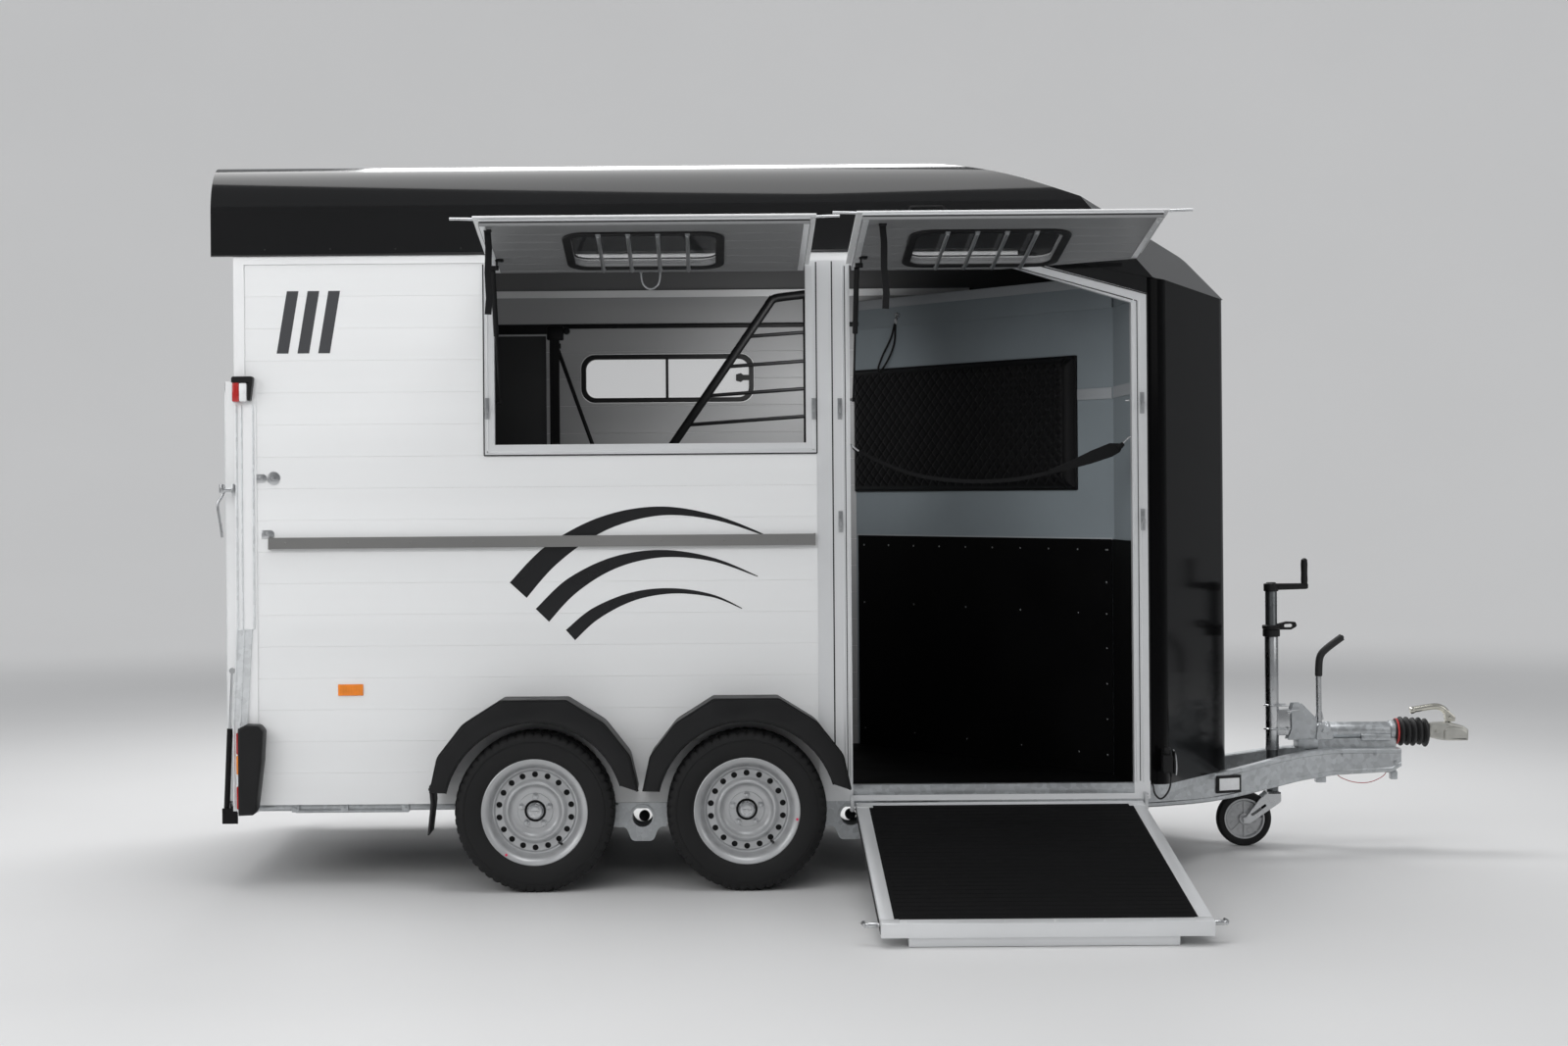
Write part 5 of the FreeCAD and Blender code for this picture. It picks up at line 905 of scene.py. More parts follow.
def make_flap_look(name, outline, skin, pane_rear, stay):
    """Skin, planks, edges, pane frames and bars of one flap, drawn shut in its hinge's frame."""
    body = f"{name}_flap"
    pane = rounded(rect(pane_rear, PANE_LOW, pane_rear + PANE_WIDE, PANE_TOP, 60), 8)
    xs = [p[0] for p in outline]
    zs = [p[1] for p in outline]
    left, right, low, high = min(xs), max(xs), min(zs), max(zs)
    cover = Piece(f"{name}_flap_skin")
    cover.plate("XZ", [skin, pane[::-1]], 2, 8, 1.2)
    cover.done("plank", body, [body], FLAP_PLACE)
    edge = 26
    planks = Piece(f"{name}_flap_planks")
    count = 6
    pitch = (high - low - 2 * edge + 4) / count
    for i in range(count):
        base = low + edge - 2 + pitch * i
        planks.box((left + edge - 2, 8, base + 0.25), (right - edge + 2, 31, base + pitch - 0.25),
                   1.4, 1)
    holes = Piece("flap_holes")
    holes.plate("XZ", [pane], 0, 44, 0)
    if len(outline) > 4:
        (x0, z0), (x1, z1) = outline[2], outline[3]
        holes.plate("XZ", [[(x1 - edge * 0.3, z1 + 20), (x1 - edge * 0.3, z1 - edge + 1),
                            (x0 - edge + 1, z0 - edge * 0.3), (x0 + 60, z0 - edge * 0.3),
                            (x0 + 60, z1 + 20)]], 0, 44, 0)
    planks.cut(holes)
    planks.done("flap_plank", body, [body], FLAP_PLACE)
    rim = Piece(f"{name}_flap_edges")
    inner = []
    count = len(outline)
    for i, point in enumerate(outline):
        here = Vector(point)
        back = (here - Vector(outline[i - 1])).normalized()
        ahead = (Vector(outline[(i + 1) % count]) - here).normalized()
        n1, n2 = Vector((-back.y, back.x)), Vector((-ahead.y, ahead.x))
        middle = (n1 + n2).normalized()
        inner.append(here + middle * (edge / max(0.3, middle.dot(n1))))
    rim.plate("XZ", [outline, inner[::-1]], 7.8, 17, 2)
    rim.done("frame", body, [body], FLAP_PLACE)
    back = Piece(f"{name}_flap_inner_rim")
    back.plate("XZ", [outline, inner[::-1]], 17, 33, 2)
    back.done("flap_plank", body, [body], FLAP_PLACE)
    sides = Piece(f"{name}_flap_side_rims")
    rear, front = left + 3, right - 3
    front_high = outline[2][1] - 6
    sides.box((rear, 32.4, low + 6), (rear + 21, 34.2, high - 8), 0.8, 1)
    sides.box((front - 21, 32.4, low + 6), (front, 34.2, front_high - 8), 0.8, 1)
    for z in range(int(low) + 60, int(front_high) - 20, 110):
        sides.rivet((rear + 10, 34.2, z), (0, 1, 0), 3.4)
        sides.rivet((front - 10, 34.2, z), (0, 1, 0), 3.4)
    sides.done("frame", body, place=FLAP_PLACE)
    # A black strip in the flap's free edge where the edge shows a dark groove: painted shade of the
    # groove.
    bead = Piece(f"{name}_flap_groove_shade")
    bead.box((left + 2, 17.5, low - 1.2), (right - 2, 22.5, low + 2), 0.8, 1)
    bead.done("rubber", body, place=FLAP_PLACE)
    around = Piece(f"{name}_pane_frame")
    outer = rounded(rect(pane_rear - 26, PANE_LOW - 26, pane_rear + 551, PANE_TOP + 26, 82), 8)
    inner = rounded(rect(pane_rear + 5, PANE_LOW + 5, pane_rear + 520, PANE_TOP - 5, 56), 8)
    around.plate("XZ", [outer, inner[::-1]], 31, 39, 2.5)
    around.plate("XZ", [outer, inner[::-1]], -1.5, 2.5, 1.5)
    around.done("plastic", body, place=FLAP_PLACE)
    bars = Piece(f"{name}_pane_bars")
    for share in (0.2, 0.4, 0.6, 0.8):
        x = pane_rear + PANE_WIDE * share
        bars.rod((x, 44, PANE_LOW - 18), (x, 44, PANE_TOP + 18), 7, sides=20, bevel=2)
        for z in (PANE_LOW - 14, PANE_TOP + 14):
            bars.box((x - 9, 38.5, z - 13), (x + 9, 42, z + 13), 1.5)
            bars.rod((x, 38, z), (x, 49, z), 5, sides=14, bevel=0.8)
    bars.done("satin", body, place=FLAP_PLACE)
    fittings = Piece(f"{name}_flap_fittings")
    fittings.box((stay + 9, 32, -216), (stay + 40, 36, -184), 2)
    fittings.box((stay + 12, 33, -212), (stay + 18, 66, -188), 2)
    fittings.rod((stay + 4, 62, -200), (stay + 22, 62, -200), 9, sides=24, bevel=1.5)
    for dz in (-208, -192):
        fittings.rivet((stay + 32, 36, dz), (0, 1, 0), 4)
    fittings.done("steel_black", body, place=FLAP_PLACE)
    catches = Piece(f"{name}_flap_catches")
    for start, end in ((left + 60, left - 102), (right - 60, right + 102)):
        catches.sweep([(start, 10, low + 15), ((start + end) / 2, 3, low + 15),
                       (end, 2.7, low + 15)],
                      5, 12)
        near = start + 20 if start < end else start - 40
        catches.box((near, 2, low + 8), (near + 20, 12, low + 24), 2)
    catches.done("zinc", body, place=FLAP_PLACE)


def make_flaps():
    window = [(983, -665), (2140, -665), (2140, -12), (983, -12)]
    make_flap_look("window", window, [(963, -685), (2160, -685), (2160, -13), (963, -13)], 1290,
                   993)
    door = [(2317, -707), (3362, -707), (3362, -155), (2880, -12), (2317, -12)]
    make_flap_look("door", door, [(2297, -711), (3382, -711), (3382, -140), (2884, -13),
                                  (2297, -13)], 2522, 2327)
    for name, body, x, z in (("window_pull_strap", "window_flap", 1010, -600),
                             ("door_pull_strap", "door_flap", 2392, -640)):
        strap = Piece(name)
        start = Vector((x, 33, z))
        line = [start, start + Vector((0, 10, 4)), start + Vector((4, 60, 8)),
                start + Vector((2, 150, 6)), start + Vector((8, 240, 2)),
                start + Vector((4, 300, 0))]
        strap.strip(line, (1, 0, 0.25), 2.4, 24)
        strap.box((x - 14, 31, z - 14), (x + 14, 35, z + 10), 1.5)
        strap.done("webbing", body, place=FLAP_PLACE)


RAMP_PLACE = hung(-894.5, 279, 99.7033)


def make_side_ramp():
    mat = Piece("side_ramp_mat")
    mat.plate("XZ", [rounded(rect(2364, 33, 3348, 1282, 8), 4)], 18, 22.6, 1.5)
    for i in range(30):
        z = 70 + i * 40
        mat.box((2380, 22, z), (3332, 23.6, z + 5), 0.7, 1)
    mat.done("mat", "side_ramp", place=RAMP_PLACE)
    planks = Piece("side_ramp_planks")
    count = 11
    for i in range(count):
        low = 34 + (1281 - 34) / count * i
        planks.box((2365, -20.5, low + 0.25), (3347, -18, low + 1247 / count - 0.25), 1, 1)
    planks.done("plank", "side_ramp", place=RAMP_PLACE)
    trims = Piece("side_ramp_trims")
    for x in (2320, 3392):
        side = 1 if x < 2800 else -1
        for reach, y0, y1, z0, z1, bevel, steps in (
                (44, 20, 24, 6, 1324, 1.5, 2), (-1, -22, 22, 6, 1324, 0.4, 1),
                (60, 22, 25.5, 1282, 1325, 1.5, 2), (60, 22, 25.5, 20, 62, 1.5, 2)):
            rear, front = sorted((x, x + side * reach))
            trims.box((rear, y0, z0), (front, y1, z1), bevel, steps)
    trims.box((2320, 20, 1282), (3392, 24, 1326), 1.5)
    trims.box((2320, -23, 1321), (3392, 25, 1329), 2)
    for x in range(2400, 3392, 160):
        trims.rivet((x, 24, 1304), (0, 1, 0), 4)
    trims.done("frame", "side_ramp", place=RAMP_PLACE)
    seals = Piece("side_ramp_seals")
    for x in (2321, 3391):
        seals.box((x - 3, -18, 10), (x + 3, 10, 1310), 2)
    seals.done("rubber", "side_ramp", place=RAMP_PLACE)
    levers = Piece("side_ramp_levers")
    for x, side in ((2272, -1), (3440, 1)):
        levers.box((x - 4, -5, 1252), (x + 4, 5, 1280), 2)
        levers.sweep([(x - side * 20, 0, 1266), (x, 0, 1266), (x + side * 8, -2, 1258),
                      (x + side * 9, -4, 1236), (x + side * 2, -5, 1222)], 5, 12)
        levers.rod((x - side * 40, 0, 1266), (x - side * 8, 0, 1266), 9, sides=20, bevel=1.5)
    levers.done("zinc", "side_ramp", place=RAMP_PLACE)


def tyre_mesh(name, body, node, centre):
    """A road tyre: rounded walls, five ribs, and notches along the shoulders."""
    # radius, along the axle, kind: 0 plain, 1 groove, 2 shoulder block
    half = [
        (178, 0, 0), (178.5, 66, 0), (186, 71.5, 0), (193, 75, 0), (203, 82, 0), (218, 88.5, 0),
        (236, 91.8, 0), (252, 92.3, 0), (262, 91, 0), (266, 90.8, 0), (268, 89.5, 0),
        (278, 86, 2), (288, 79.5, 2), (293, 72, 2), (294.5, 60, 2), (294.8, 48, 2),
        (288, 46, 1), (288, 38, 1), (295, 36, 0), (295, 14, 0), (288, 12, 1), (288, 5, 1),
        (295, 3, 0), (295, 0, 0),
    ]
    profile = [(r, a, k) for r, a, k in half] + [(r, -a, k) for r, a, k in half[-2:0:-1]]
    steps, period = 216, 4
    part = bmesh.new()
    rings = []
    for radius, along, kind in profile:
        ring = []
        for k in range(steps):
            turn = 2 * math.pi * k / steps
            shift = 2 if along < 0 else 0
            cut = 6.5 if kind == 2 and (k + shift) % period == 0 else 0
            r = radius - cut
            ring.append(part.verts.new((centre[0] + r * math.cos(turn), centre[1] + along,
                                        centre[2] + r * math.sin(turn))))
        rings.append(ring)
    join_rings(part, rings)
    made = Piece(name)
    made.take(part)
    made.lathe([(258, 91), (259.5, 93), (261, 91.2), (260, 90)], centre, (0, 1, 0), 120)
    made.lathe([(258, -91), (259.5, -93), (261, -91.2), (260, -90)], centre, (0, 1, 0), 120)
    made.done("tyre", body, [node], angle=28)


RIM_HOLES, RIM_HOLE_CIRCLE, WHEEL_NUTS, NUT_CIRCLE = 18, 135, 5, 54


def spoke(degrees):
    """A direction in a wheel's plane."""
    turn = math.radians(degrees)
    return Vector((math.cos(turn), 0, math.sin(turn)))


def make_wheel(axle, name, side, station):
    body, tag = f"wheel_{axle}_{name}", f"{axle}_{name}"
    centre = Vector((station, side * TRACK, HUB_HEIGHT))
    tyre_mesh(f"road_tyre_{tag}", body, f"tyre_{tag}", centre)
    out = Vector((0, side, 0))
    rim = Piece(f"steel_rim_{tag}")
    rim.lathe([(18.2, -60), (171, -60), (171, -74), (193, -77), (196, -74), (194, -70), (179, -66),
               (177, 60), (180, 67), (190, 71), (195, 74), (196, 78), (193, 79.5), (184, 76),
               (176, 71), (169, 60), (164, 40), (158, 27), (153, 25), (150, 27), (147, 30),
               (122, 31), (117, 34), (112, 43), (106, 46.5), (100, 45), (95, 38), (88, 29),
               (80, 26), (66, 26), (64, 29), (40, 29), (40, 22), (80, 19), (100, 20), (118, 24),
               (147, 22), (154, 18), (165, -40), (18.2, -40)], centre, out, 96)
    holes = Piece("rim_holes")
    for k in range(RIM_HOLES):
        spot = centre + spoke(360 // RIM_HOLES * k + 10) * RIM_HOLE_CIRCLE
        holes.rod(spot + out * 10, spot + out * 48, 11.2, sides=22)
    rim.cut(holes)
    rim.done("rim", body, [f"rim_{tag}"])
    dark = Piece(f"brake_drum_{tag}")
    dark.lathe([(20, -98), (117, -98), (120, -92), (120, -26), (150, 8), (150, 12), (20, 12)],
               centre, out, 64)
    dark.done("rubber", body, [f"rim_{tag}"], slot="black_steel")
    hub = Piece(f"wheel_nuts_{tag}")
    hub.lathe([(0.5, 20), (31, 20), (31, 33), (28, 36), (27, 50), (24, 53.5), (17, 54.5), (16, 53),
               (0.5, 53)], centre, out, 48)
    hub.box(centre + Vector((-17, side * 52.5 - 2.5, -3)), centre + Vector((17, side * 52.5 + 2.5,
                                                                            3)), 1)
    for k in range(WHEEL_NUTS):
        spot = centre + spoke(360 // WHEEL_NUTS * k + 18) * NUT_CIRCLE
        hub.rod(spot + out * 26, spot + out * 33, 13, end_radius=11, sides=24, bevel=0.8)
        hub.rod(spot + out * 31, spot + out * 44, 9.8, sides=6, bevel=1.2)
        hub.rod(spot + out * 44, spot + out * 47, 6, end_radius=4.5, sides=16)
    hub.done("zinc", body)
    valve = Piece(f"valve_{tag}")
    along = spoke(-52)
    spot = centre + along * 157
    valve.rod(spot + out * 24, spot + out * 44 + along * -8, 5.5, end_radius=4, sides=16)
    valve.rod(spot + out * 43 + along * -8, spot + out * 58 + along * -14, 4.2, sides=12, bevel=0.8)
    valve.done("rubber", body)
    mark = Piece(f"wheel_mark_{tag}")
    spot = centre + spoke(-10 if axle == "front" else 236) * 187
    mark.rod(spot + out * 76, spot + out * 79.8, 4.5, sides=18)
    mark.done("red_mark", body)


def make_wheels():
    for axle, station in (("front", HUB_FRONT), ("rear", HUB_REAR)):
        for name, side in (("right", RIGHT), ("left", LEFT)):
            make_wheel(axle, name, side, station)


def guard_line(inset=0.0):
    """Arch of a mudguard about its hub, as (along, up)."""
    half = [(380 - inset, 77), (352 - inset, 205 - inset * 0.5, 60),
            (258 - inset * 0.8, 325 - inset, 90),
            (120 - inset * 0.4, 411 - inset, 24)]
    return [(-p[0],) + tuple(p[1:]) for p in half] + half[::-1]


def make_bracket_hole_shade():
    """Dark plugs in the holes of the axle brackets: painted shade inside the holes."""
    hole_shade = Piece("bracket_hole_shade")
    for x in (1522, 2313):
        for _, low, high in both_sides(625, 652):
            hole_shade.rod((x, low, 226), (x, high, 226), 20.5, sides=32, bevel=1.5)
    hole_shade.done("rubber")


def make_mudguards():
    guards = Piece("mudguard_mouldings")
    for side in (RIGHT, LEFT):
        for station in (HUB_FRONT, HUB_REAR):
            outer = [Vector((station + p.x, HUB_HEIGHT + p.y)) for p in rounded(guard_line(), 10)]
            inner = [Vector((station + p.x, HUB_HEIGHT + p.y)) for p in rounded(guard_line(7), 10)]
            low, high = sorted((side * 861, side * 1066))
            guards.plate("XZ", [outer + inner[::-1]], low, high, 1)
            arch = [Vector((station + 334 * math.cos(math.radians(a)),
                            HUB_HEIGHT + 334 * math.sin(math.radians(a))))
                    for a in range(167, 12, -5)]
            low, high = sorted((side * 1062, side * 1080))
            shrunk = [Vector((station + p.x, HUB_HEIGHT + p.y)) for p in rounded(guard_line(1), 10)]
            guards.plate("XZ", [shrunk + arch[::-1]], low, high, 6)
            lip = [(p.x, side * 1070, p.y) for p in outer]
            guards.sweep(lip, 5, 12, smooth=False)
            edge = [(p.x, side * 1071, p.y) for p in arch]
            guards.sweep(edge, 5, 12, smooth=False)
    step = Piece("guard_step")
    step.box((DOOR_POST_REAR - 1, -FACE - 0.3, 300), (2400, -800, 800), 0)
    guards.cut(step)
    guards.done("plastic", replaces=["mudguards"])
    flaps = Piece("mud_flaps")
    for side, low, high in both_sides(900, 1060):
        flaps.plate("XZ", [rounded([(742, 396), (752, 398), (756, 330, 20), (742, 214, 4),
                                    (735, 214, 4),
                                    (747, 330, 20)], 4)], low, high, 1)
        for y in (930, 1030):
            flaps.bolt((742, side * y, 380), (-1, 0, 0), 5, 4)
    flaps.done("rubber")


def spline_curve(name, points, diameter, material, body=BODY):
    """A limp cord: one open spline along points in millimetres."""
    data = bpy.data.curves.new(name, "CURVE")
    data.dimensions = "3D"
    data.resolution_u = 16
    spline = data.splines.new("NURBS")
    spline.points.add(len(points) - 1)
    for control, point in zip(spline.points, points):
        control.co = (*at(*point), 1)
    spline.order_u = 3
    spline.use_endpoint_u = True
    made = bpy.data.objects.new(name, data)
    bpy.context.scene.collection.objects.link(made)
    line = bpy.data.meshes.new_from_object(made)
    bpy.data.meshes.remove(line)
    data.bevel_depth = diameter / 2000
    data.bevel_resolution = 3
    data.use_fill_caps = True
    data.materials.append(material)
    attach(made, body)
    return made


def make_cords():
    spline_curve("plug_cable", [(3502, -884, 392), (3501, -885, 366), (3492, -886, 332),
                                (3463, -886, 300), (3438, -884, 324), (3437, -874, 352),
                                (3437, -858, 360)], 7, M["rubber"])
    spline_curve("breakaway_cord", [(4337, -30, 312), (4339, -31, 292), (4360, -33, 276),
                                    (4410, -34, 258), (4470, -34, 256), (4520, -33, 276),
                                    (4544, -31, 296), (4546, -30, 318)], 3.2, M["red_cord"])


WALL_START, WALL_BEND = Vector((2434, 829)), Vector((3370, -440))
WALL_RUN = (WALL_BEND - WALL_START).length
WALL_ALONG = (WALL_BEND - WALL_START).normalized()
WALL_OUT = Vector((WALL_ALONG.y, -WALL_ALONG.x))


def on_wall(distance, depth, height):
    """A point by its distance along the tack room wall and its depth out of the face."""
    spot = WALL_START + WALL_ALONG * distance + WALL_OUT * depth
    return Vector((spot.x, spot.y, height))


def wall_slab(piece, start, stop, inner, outer, low, high, bevel=1.0):
    """A slab on the tack room wall's face."""
    middle = Piece("slab")
    middle.box((start, inner, low), (stop, outer, high), bevel)
    for vert in middle.mesh.verts:
        vert.co = on_wall(*vert.co)
    bmesh.ops.recalc_face_normals(middle.mesh, faces=middle.mesh.faces)
    piece.take(middle.mesh)


def make_quilted_pad():
    """A stuffed vinyl pad with sewn diamonds, a welt round its edge and a seam near its end."""
    start, stop, low, high, thick = 3, 1380, 1465, 2000, 38
    pitch, nu, nv = 27.0, 330, 134
    part = bmesh.new()

    def depth(u, v):
        edge = min(u, stop - start - u, v, high - low - v)
        crown = thick * (1 - math.exp(-edge / 16)) - 4
        if edge > 26 and u < stop - start - 62:
            a = abs(math.sin(math.pi * (u + v) / (2 * pitch)))
            b = abs(math.sin(math.pi * (u - v) / (2 * pitch)))
            crown -= 4.2 * (1 - min(1, 2.4 * a)) + 4.2 * (1 - min(1, 2.4 * b))
        seam = abs(u - (stop - start - 56))
        crown -= 5 * math.exp(-(seam / 4) ** 2) if edge > 8 else 0
        return max(1.0, crown)

    front, back = [], []
    for i in range(nu + 1):
        u = (stop - start) * i / nu
        front_row, back_row = [], []
        for j in range(nv + 1):
            v = (high - low) * j / nv
            bow = 7 * math.sin(math.pi * u / (stop - start)) * math.sin(math.pi * v / (high - low))
            place = on_wall(start + u, 1 + depth(u, v) + bow * 0.3, low + v)
            front_row.append(part.verts.new(place))
            back_row.append(part.verts.new(on_wall(start + u, 0.6, low + v)))
        front.append(front_row)
        back.append(back_row)
    for i in range(nu):
        for j in range(nv):
            part.faces.new((front[i][j], front[i + 1][j], front[i + 1][j + 1], front[i][j + 1]))
    ring_front = ([r[0] for r in front] + front[-1][1:] + [r[nv] for r in front[-2::-1]]
                  + front[0][-2:0:-1])
    ring_back = ([r[0] for r in back] + back[-1][1:] + [r[nv] for r in back[-2::-1]]
                 + back[0][-2:0:-1])
    for i in range(len(ring_front)):
        j = (i + 1) % len(ring_front)
        part.faces.new((ring_front[i], ring_back[i], ring_back[j], ring_front[j]))
    for row in back[1:-1]:
        for vert in row[1:-1]:
            part.verts.remove(vert)
    part.faces.new(ring_back[::-1])
    bmesh.ops.recalc_face_normals(part, faces=part.faces)
    pad = Piece("quilted_wall_pad")
    pad.take(part)
    corners = [on_wall(start + 3, 6, low + 3), on_wall(stop - 3, 6, low + 3),
               on_wall(stop - 3, 6, high - 3), on_wall(start + 3, 6, high - 3)]
    for first, second in zip(corners, corners[1:] + corners[:1]):
        pad.sweep([first, second], 4.5, 12, smooth=False)
    made = pad.done("vinyl", replaces=["quilted_pad"], angle=60)


def make_tack_wall():
    """Light strips on the tack room wall, its raised top and its screws."""
    strips = Piece("tack_wall_strips")
    wall_slab(strips, 4, WALL_RUN - 6, -24, 0.4, 2180.3, 2300)
    strips.box((3372, -826, 2180.3), (3396, -444, 2300), 1)
    strips.done("grey_wall")
    pale = Piece("tack_wall_trims")
    wall_slab(pale, 6, WALL_RUN - 8, 0.2, 5, 2266, 2306)
    wall_slab(pale, 1384, WALL_RUN - 4, 0.2, 6, 1822, 1866)
    pale.strip([(3371, -446, 1846), (3397, -824, 1852)], (0, 0, 1), 6, 44)
    wall_slab(pale, 6, WALL_RUN - 8, 0.2, 3, 1268, 1275)
    pale.done("trim_grey")
    screws = Piece("kick_board_screws")
    for height, gap in ((1228, 165), (975, 330), (420, 330)):
        distance = 60
        while distance < WALL_RUN - 20:
            place = on_wall(distance, 6.4, height)
            screws.rivet(place, (WALL_OUT.x, WALL_OUT.y, 0), 4)
            distance += gap
    for height in (1228, 1100, 975, 840, 700, 560, 420):
        screws.rivet(on_wall(WALL_RUN - 40, 6.4, height), (WALL_OUT.x, WALL_OUT.y, 0), 4)
    screws.done("zinc")
    corner = Piece("kick_board_return")
    corner.plate("XY", [[(3366, -446), (3396, -826), (3390, -826), (3360, -448)]], 346, 1270, 1)
    corner.done("kick")


def make_tethers():
    """The bar strap across the doorway, with its hooks, and the tie loop on the wall."""
    strap = Piece("doorway_strap")
    line = [(2322, -822, 1634), (2345, -820, 1618), (2450, -818, 1566), (2580, -816, 1522),
            (2746, -815, 1501), (2912, -816, 1504), (3023, -817, 1522), (3110, -818, 1546),
            (3175, -819, 1572)]
    strap.strip(smooth_line([Vector(p) for p in line], 6), (0, 0.35, 1), 3.2, 15)
    sleeve = [(3060, 1524), (3130, 1540), (3230, 1566), (3300, 1589), (3330, 1606), (3340, 1628),
              (3326, 1640), (3290, 1640), (3220, 1612), (3130, 1568), (3060, 1541)]
    strap.plate("XZ", [rounded([(*p, 9) for p in sleeve], 3)], -826, -816, 3)
    strap.rod((3322, -821, 1622), (3344, -821, 1638), 13, end_radius=8, sides=20, bevel=2)
    strap.done("webbing")
    hooks = Piece("strap_hooks")
    hooks.sweep([(2345, -820, 1618), (2330, -821, 1628), (2318, -824, 1640), (2312, -830, 1644),
                 (2308, -836, 1640)], 4, 12)
    hooks.sweep([(3336, -821, 1636), (3350, -822, 1648), (3362, -826, 1662), (3370, -832, 1664),
                 (3374, -838, 1656)], 4, 12)
    hooks.rod((3366, -836, 1800), (3352, -826, 1800), 3.5, sides=14)
    hooks.done("zinc")
    ring = Piece("tie_ring")
    spot = on_wall(295, 6, 2228)
    ring.rod(on_wall(295, 0, 2228), on_wall(295, 10, 2228), 13, sides=24, bevel=1.5)
    ring.sweep([spot, on_wall(299, 14, 2214), on_wall(299, 16, 2196), on_wall(295, 14, 2186),
                on_wall(291, 16, 2196), on_wall(291, 14, 2214), spot], 4.5, 12)
    ring.done("zinc")
    route = [on_wall(296, 18, 2190), on_wall(297, 20, 2150), on_wall(292, 22, 2100),
             on_wall(272, 36, 2040), on_wall(246, 50, 1996), on_wall(222, 50, 1980),
             on_wall(214, 50, 2002), on_wall(238, 40, 2060), on_wall(270, 26, 2120),
             on_wall(288, 24, 2160), on_wall(291, 18, 2192)]
    spline_curve("tie_cord", [tuple(p) for p in route], 9, M["webbing"])


def make_sliding_window():
    """Black rubber-framed window with two panes, its divider and its latch."""
    outer = rounded(rect(1217, 1867, 1983, 2080, 62), 8)
    inner = rounded(rect(1238, 1888, 1962, 2059, 46), 8)
    frame_piece = Piece("sliding_window_frame")
    frame_piece.plate("XZ", [outer, inner[::-1]], 826, 864, 3)
    frame_piece.box((1592, 832, 1886), (1604, 858, 2061), 1.5)
    frame_piece.plate("XZ", [rounded([(1904, 1960, 3), (1926, 1954, 3), (1936, 1962, 3),
                                      (1966, 1962),
                                      (1966, 1986), (1936, 1986, 3), (1926, 1994, 3),
                                      (1904, 1988, 3)], 3)],
                      818, 834, 1.5)
    frame_piece.done("plastic", replaces=["sliding_window"])
    panes = Piece("sliding_panes")
    panes.box((1236, 840, 1886), (1600, 844, 2061), 0.5)
    panes.box((1596, 847, 1886), (1964, 851, 2061), 0.5)
    panes.done("milky", replaces=["sliding_window"])


def make_roof_details():
    vent = Piece("roof_vent")
    for side, low, high in both_sides(871, 880):
        outer, inner = rect(2535, 2499, 2675, 2535, 14), rect(2545, 2507, 2665, 2527, 8)
        vent.plate("XZ", [rounded(outer, 4), rounded(inner, 4)[::-1]], low, high, 2)
        for k in range(3):
            z = 2509 + k * 6
            low, high = sorted((side * 870, side * 877))
            vent.box((2548, low, z), (2662, high, z + 3), 0.8, 1)
    vent.done("plastic")
    bead = Piece("roof_edge_bead")
    for side in (RIGHT, LEFT):
        bead.sweep([(-80, side * 874, 2369), (2936, side * 874, 2369)], 4, 12, smooth=False)
        for k in range(12):
            bead.rivet((120 + k * 245, side * 873.5, 2388), (0, side, 0), 4)
    bead.done("gloss_black")


